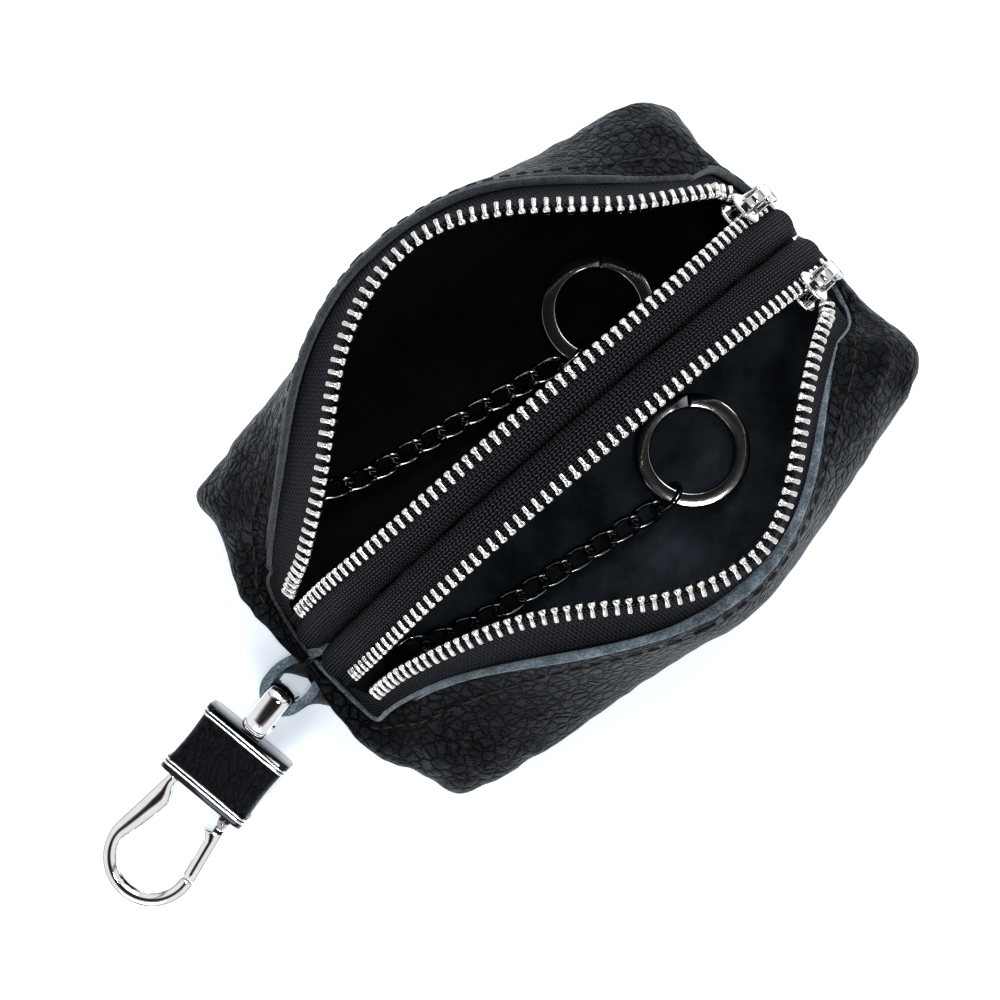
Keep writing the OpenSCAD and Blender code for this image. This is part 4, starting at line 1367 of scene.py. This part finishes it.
def slab(shape, outline, low, high, round_by=0.16):
    """Flat plate with rounded edges."""
    rings = []
    for z, shrink in ((low, 1), (low + round_by, 0.3), (low + 2 * round_by, 0), (high - 2 * round_by, 0),
                      (high - round_by, 0.3), (high, 1)):
        inset = shrink * round_by
        rings.append([Vector((x - math.copysign(min(abs(x), inset), x),
                              y - math.copysign(min(abs(y), inset), y), z)) for x, y in outline])
    shape.sweep(rings)


def make_slider(side):
    name = NAMES[side] + "_slider"
    turn = at_track(SLIDER_AT, side) @ SMALLER
    outline = list(PLATE_OUTLINE) + [(x, -y) for x, y in reversed(PLATE_OUTLINE)]
    shape = Shape()
    slab(shape, outline, PLATE_GAP, PLATE_GAP + PLATE_T)
    slab(shape, outline, -PLATE_GAP - PLATE_T, -PLATE_GAP)
    for y in (1, -1):
        flange = [(-0.8, 2.7 * y), (-0.8, 2.2 * y), (4.8, 1.8 * y), (4.8, 2.3 * y)]
        slab(shape, flange, 0.55, PLATE_GAP + 0.2)
        slab(shape, flange, -PLATE_GAP - 0.2, -0.55)
    slab(shape, DIAMOND, -PLATE_GAP - 0.2, PLATE_GAP + 0.2, 0.1)
    piece = shape.solid(name + "_body", SLIDER_METAL, turn=turn)
    place(bevel(piece, 0.1), name, name, slot="chrome")
    arch = rounded_path([Vector((x, 0, PLATE_GAP + PLATE_T - 0.2 + z)) for x, z in CROWN_ARCH], 5)
    section = rounded_section(0.95, 2.4, 0.35)
    rings = [ring_at(p, aside, up, section)
             for p, ahead, aside, up in frames_along(arch, Vector((0, 1, 0)))]
    piece = swept(rings).solid(NAMES[side] + "_crown_arch", SLIDER_METAL, turn=turn)
    place(piece, name, NAMES[side] + "_crown", slot="chrome")


PULL_WIDE = 2.5               # half width of the pull, and of its fork's slot
PULL_SLOT = 1.55
PULL_FOOT = 5.4               # the fork's slot ends here
PULL_HOLE = 1.4


def make_pull(side):
    """Flat tapering pull whose forked end hangs on a bar through the crown."""
    shape = Shape()
    wide, slot, foot = PULL_WIDE, PULL_SLOT, PULL_FOOT
    for y in (1, -1):
        slab(shape, [(-0.7, slot * y), (foot, slot * y), (foot, wide * y), (0.2, wide * y),
                     (-0.7, (wide - 0.5) * y)], -0.6, 0.6)
    tip = PULL_LEN - wide
    outer, inner = [], []
    for i in range(48):
        a = 7.5 * i
        x, y = wide * cosd(a), wide * sind(a)
        outer.append((tip + x if x > 0 else (foot - 0.4 if abs(a - 180) < 80 else tip), y))
        inner.append((tip + PULL_HOLE * cosd(a), PULL_HOLE * sind(a)))
    shape.sweep([[Vector((x, y, z)) for x, y in ring] for ring, z in
                 ((outer, -0.45), (outer, 0.45), (inner, 0.45), (inner, -0.45))], closed=True)
    shape.sweep([[Vector((0.8 * cosd(a), y, 0.8 * sind(a))) for a in range(0, 360, 20)]
                 for y in (-slot - 0.4, slot + 0.4)])
    turn = at_track(PULL_AT, side, PULL_UP) @ turned(y=PULL_LIE)
    piece = shape.solid(NAMES[side] + "_pull_tab", SLIDER_METAL, turn=turn @ SMALLER)
    place(bevel(piece, 0.15), NAMES[side] + "_pull", NAMES[side] + "_pull", slot="chrome")


for side in SIDES:
    make_slider(side)
    make_pull(side)

# CAD nodes that stay, with their finish

KEPT = {"swivel_post": CHROME, "ferrule_core": STEEL, "gate_pin": STEEL, "gate_spring": STEEL}
for node_name, finish in KEPT.items():
    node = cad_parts[node_name]
    node.data.materials.clear()
    node.data.materials.append(finish)
    for face in node.data.polygons:
        face.use_smooth = True
    bevel(node, 0.22, 3, 35, keep_sharp=False)

# Stage

CAMERA_AT = Vector((8.1, -17.9, 450.0))
CAMERA_TO = Vector((-17.8, -0.3, 0.0))
CAMERA_UP = 40.9              # heading of the picture's top, clockwise from +Y
CAMERA_LENS = 78.7


def make_camera():
    data = bpy.data.cameras.new("camera")
    data.lens = CAMERA_LENS
    data.clip_start = 0.01
    data.clip_end = 20
    camera = show("camera", data)
    back = (CAMERA_AT - CAMERA_TO).normalized()
    right = Vector((sind(CAMERA_UP), cosd(CAMERA_UP), 0)).cross(back).normalized()
    turn = Matrix((right, back.cross(right), back)).transposed().to_4x4()
    camera.matrix_world = Matrix.Translation(CAMERA_AT * MM) @ turn
    bpy.context.scene.camera = camera


def make_floor():
    mesh = bpy.data.meshes.new("floor")
    reach = 3.0
    mesh.from_pydata([(-reach, -reach, 0), (reach, -reach, 0), (reach, reach, 0), (-reach, reach, 0)],
                     [], [(0, 1, 2, 3)])
    floor = show("floor", mesh)
    floor.location.z = -0.0001
    n = new_material("white_sweep")
    n.set(Base_Color=n.ramp(n.noise(40.0, 2.0), (0.0, (0.88, 0.92, 0.97)), (1.0, (0.90, 0.94, 0.985))))
    n.set(Roughness=0.7, Specular_IOR_Level=0.0)
    n.set(Emission_Color=(0.80, 0.90, 1.0, 1), Emission_Strength=0.34)
    mesh.materials.append(n.owner)


def make_area(name, at, size, power):
    """Lamp over the case, turned to its middle."""
    data = bpy.data.lights.new(name, "AREA")
    data.shape = "RECTANGLE"
    data.size, data.size_y = size
    data.energy = power
    light = show(name, data)
    light.location = Vector(at)
    light.rotation_euler = (-Vector(at)).to_track_quat("-Z", "Y").to_euler()


# Brightness of the surround that reflections see, from below to overhead
SURROUND = ((0.0, 1.1), (0.10, 0.55), (0.22, 0.9), (0.32, 1.5), (0.88, 1.5), (0.925, 0.4), (0.955, 0.04),
            (1.0, 0.02))


def make_world():
    """White surround; reflections see bright panels with a dark gap overhead."""
    world = bpy.data.worlds.new("studio")
    bpy.context.scene.world = world
    n = Nodes(world)
    split = n.add("SeparateXYZ")
    n.feed(split.inputs[0], n.add("TexCoord").outputs["Generated"])
    rise = n.ramp(split.outputs[2], *[(at, (v + 0.014, v + 0.006, v * 1.03)) for at, v in SURROUND])
    heading = n.math("ARCTAN2", split.outputs[1], split.outputs[0])
    wave = n.math("ABSOLUTE", n.math("SINE", n.math("MULTIPLY_ADD", heading, 1.5, 0.9)))
    gaps = n.ramp(wave, (0.0, (0.10, 0.09, 0.08)), (0.25, grey(1.0)))
    glossy = n.add("LightPath").outputs["Is Glossy Ray"]
    seen = n.blend("MIX", glossy, (0.93, 0.965, 1.0, 1), n.blend("MULTIPLY", 0.85, rise, gaps))
    n.set(Color=seen, Strength=0.62)


make_camera()
make_floor()
make_area("key", (0.55, 0.30, 0.75), (0.45, 0.45), 7.5)
make_area("fill", (-0.75, -0.30, 0.55), (0.5, 0.4), 4.0)
make_area("spark", (0.12, -0.10, 1.1), (0.12, 0.12), 2.2)
make_world()

bpy.context.scene.view_settings.view_transform = "Standard"
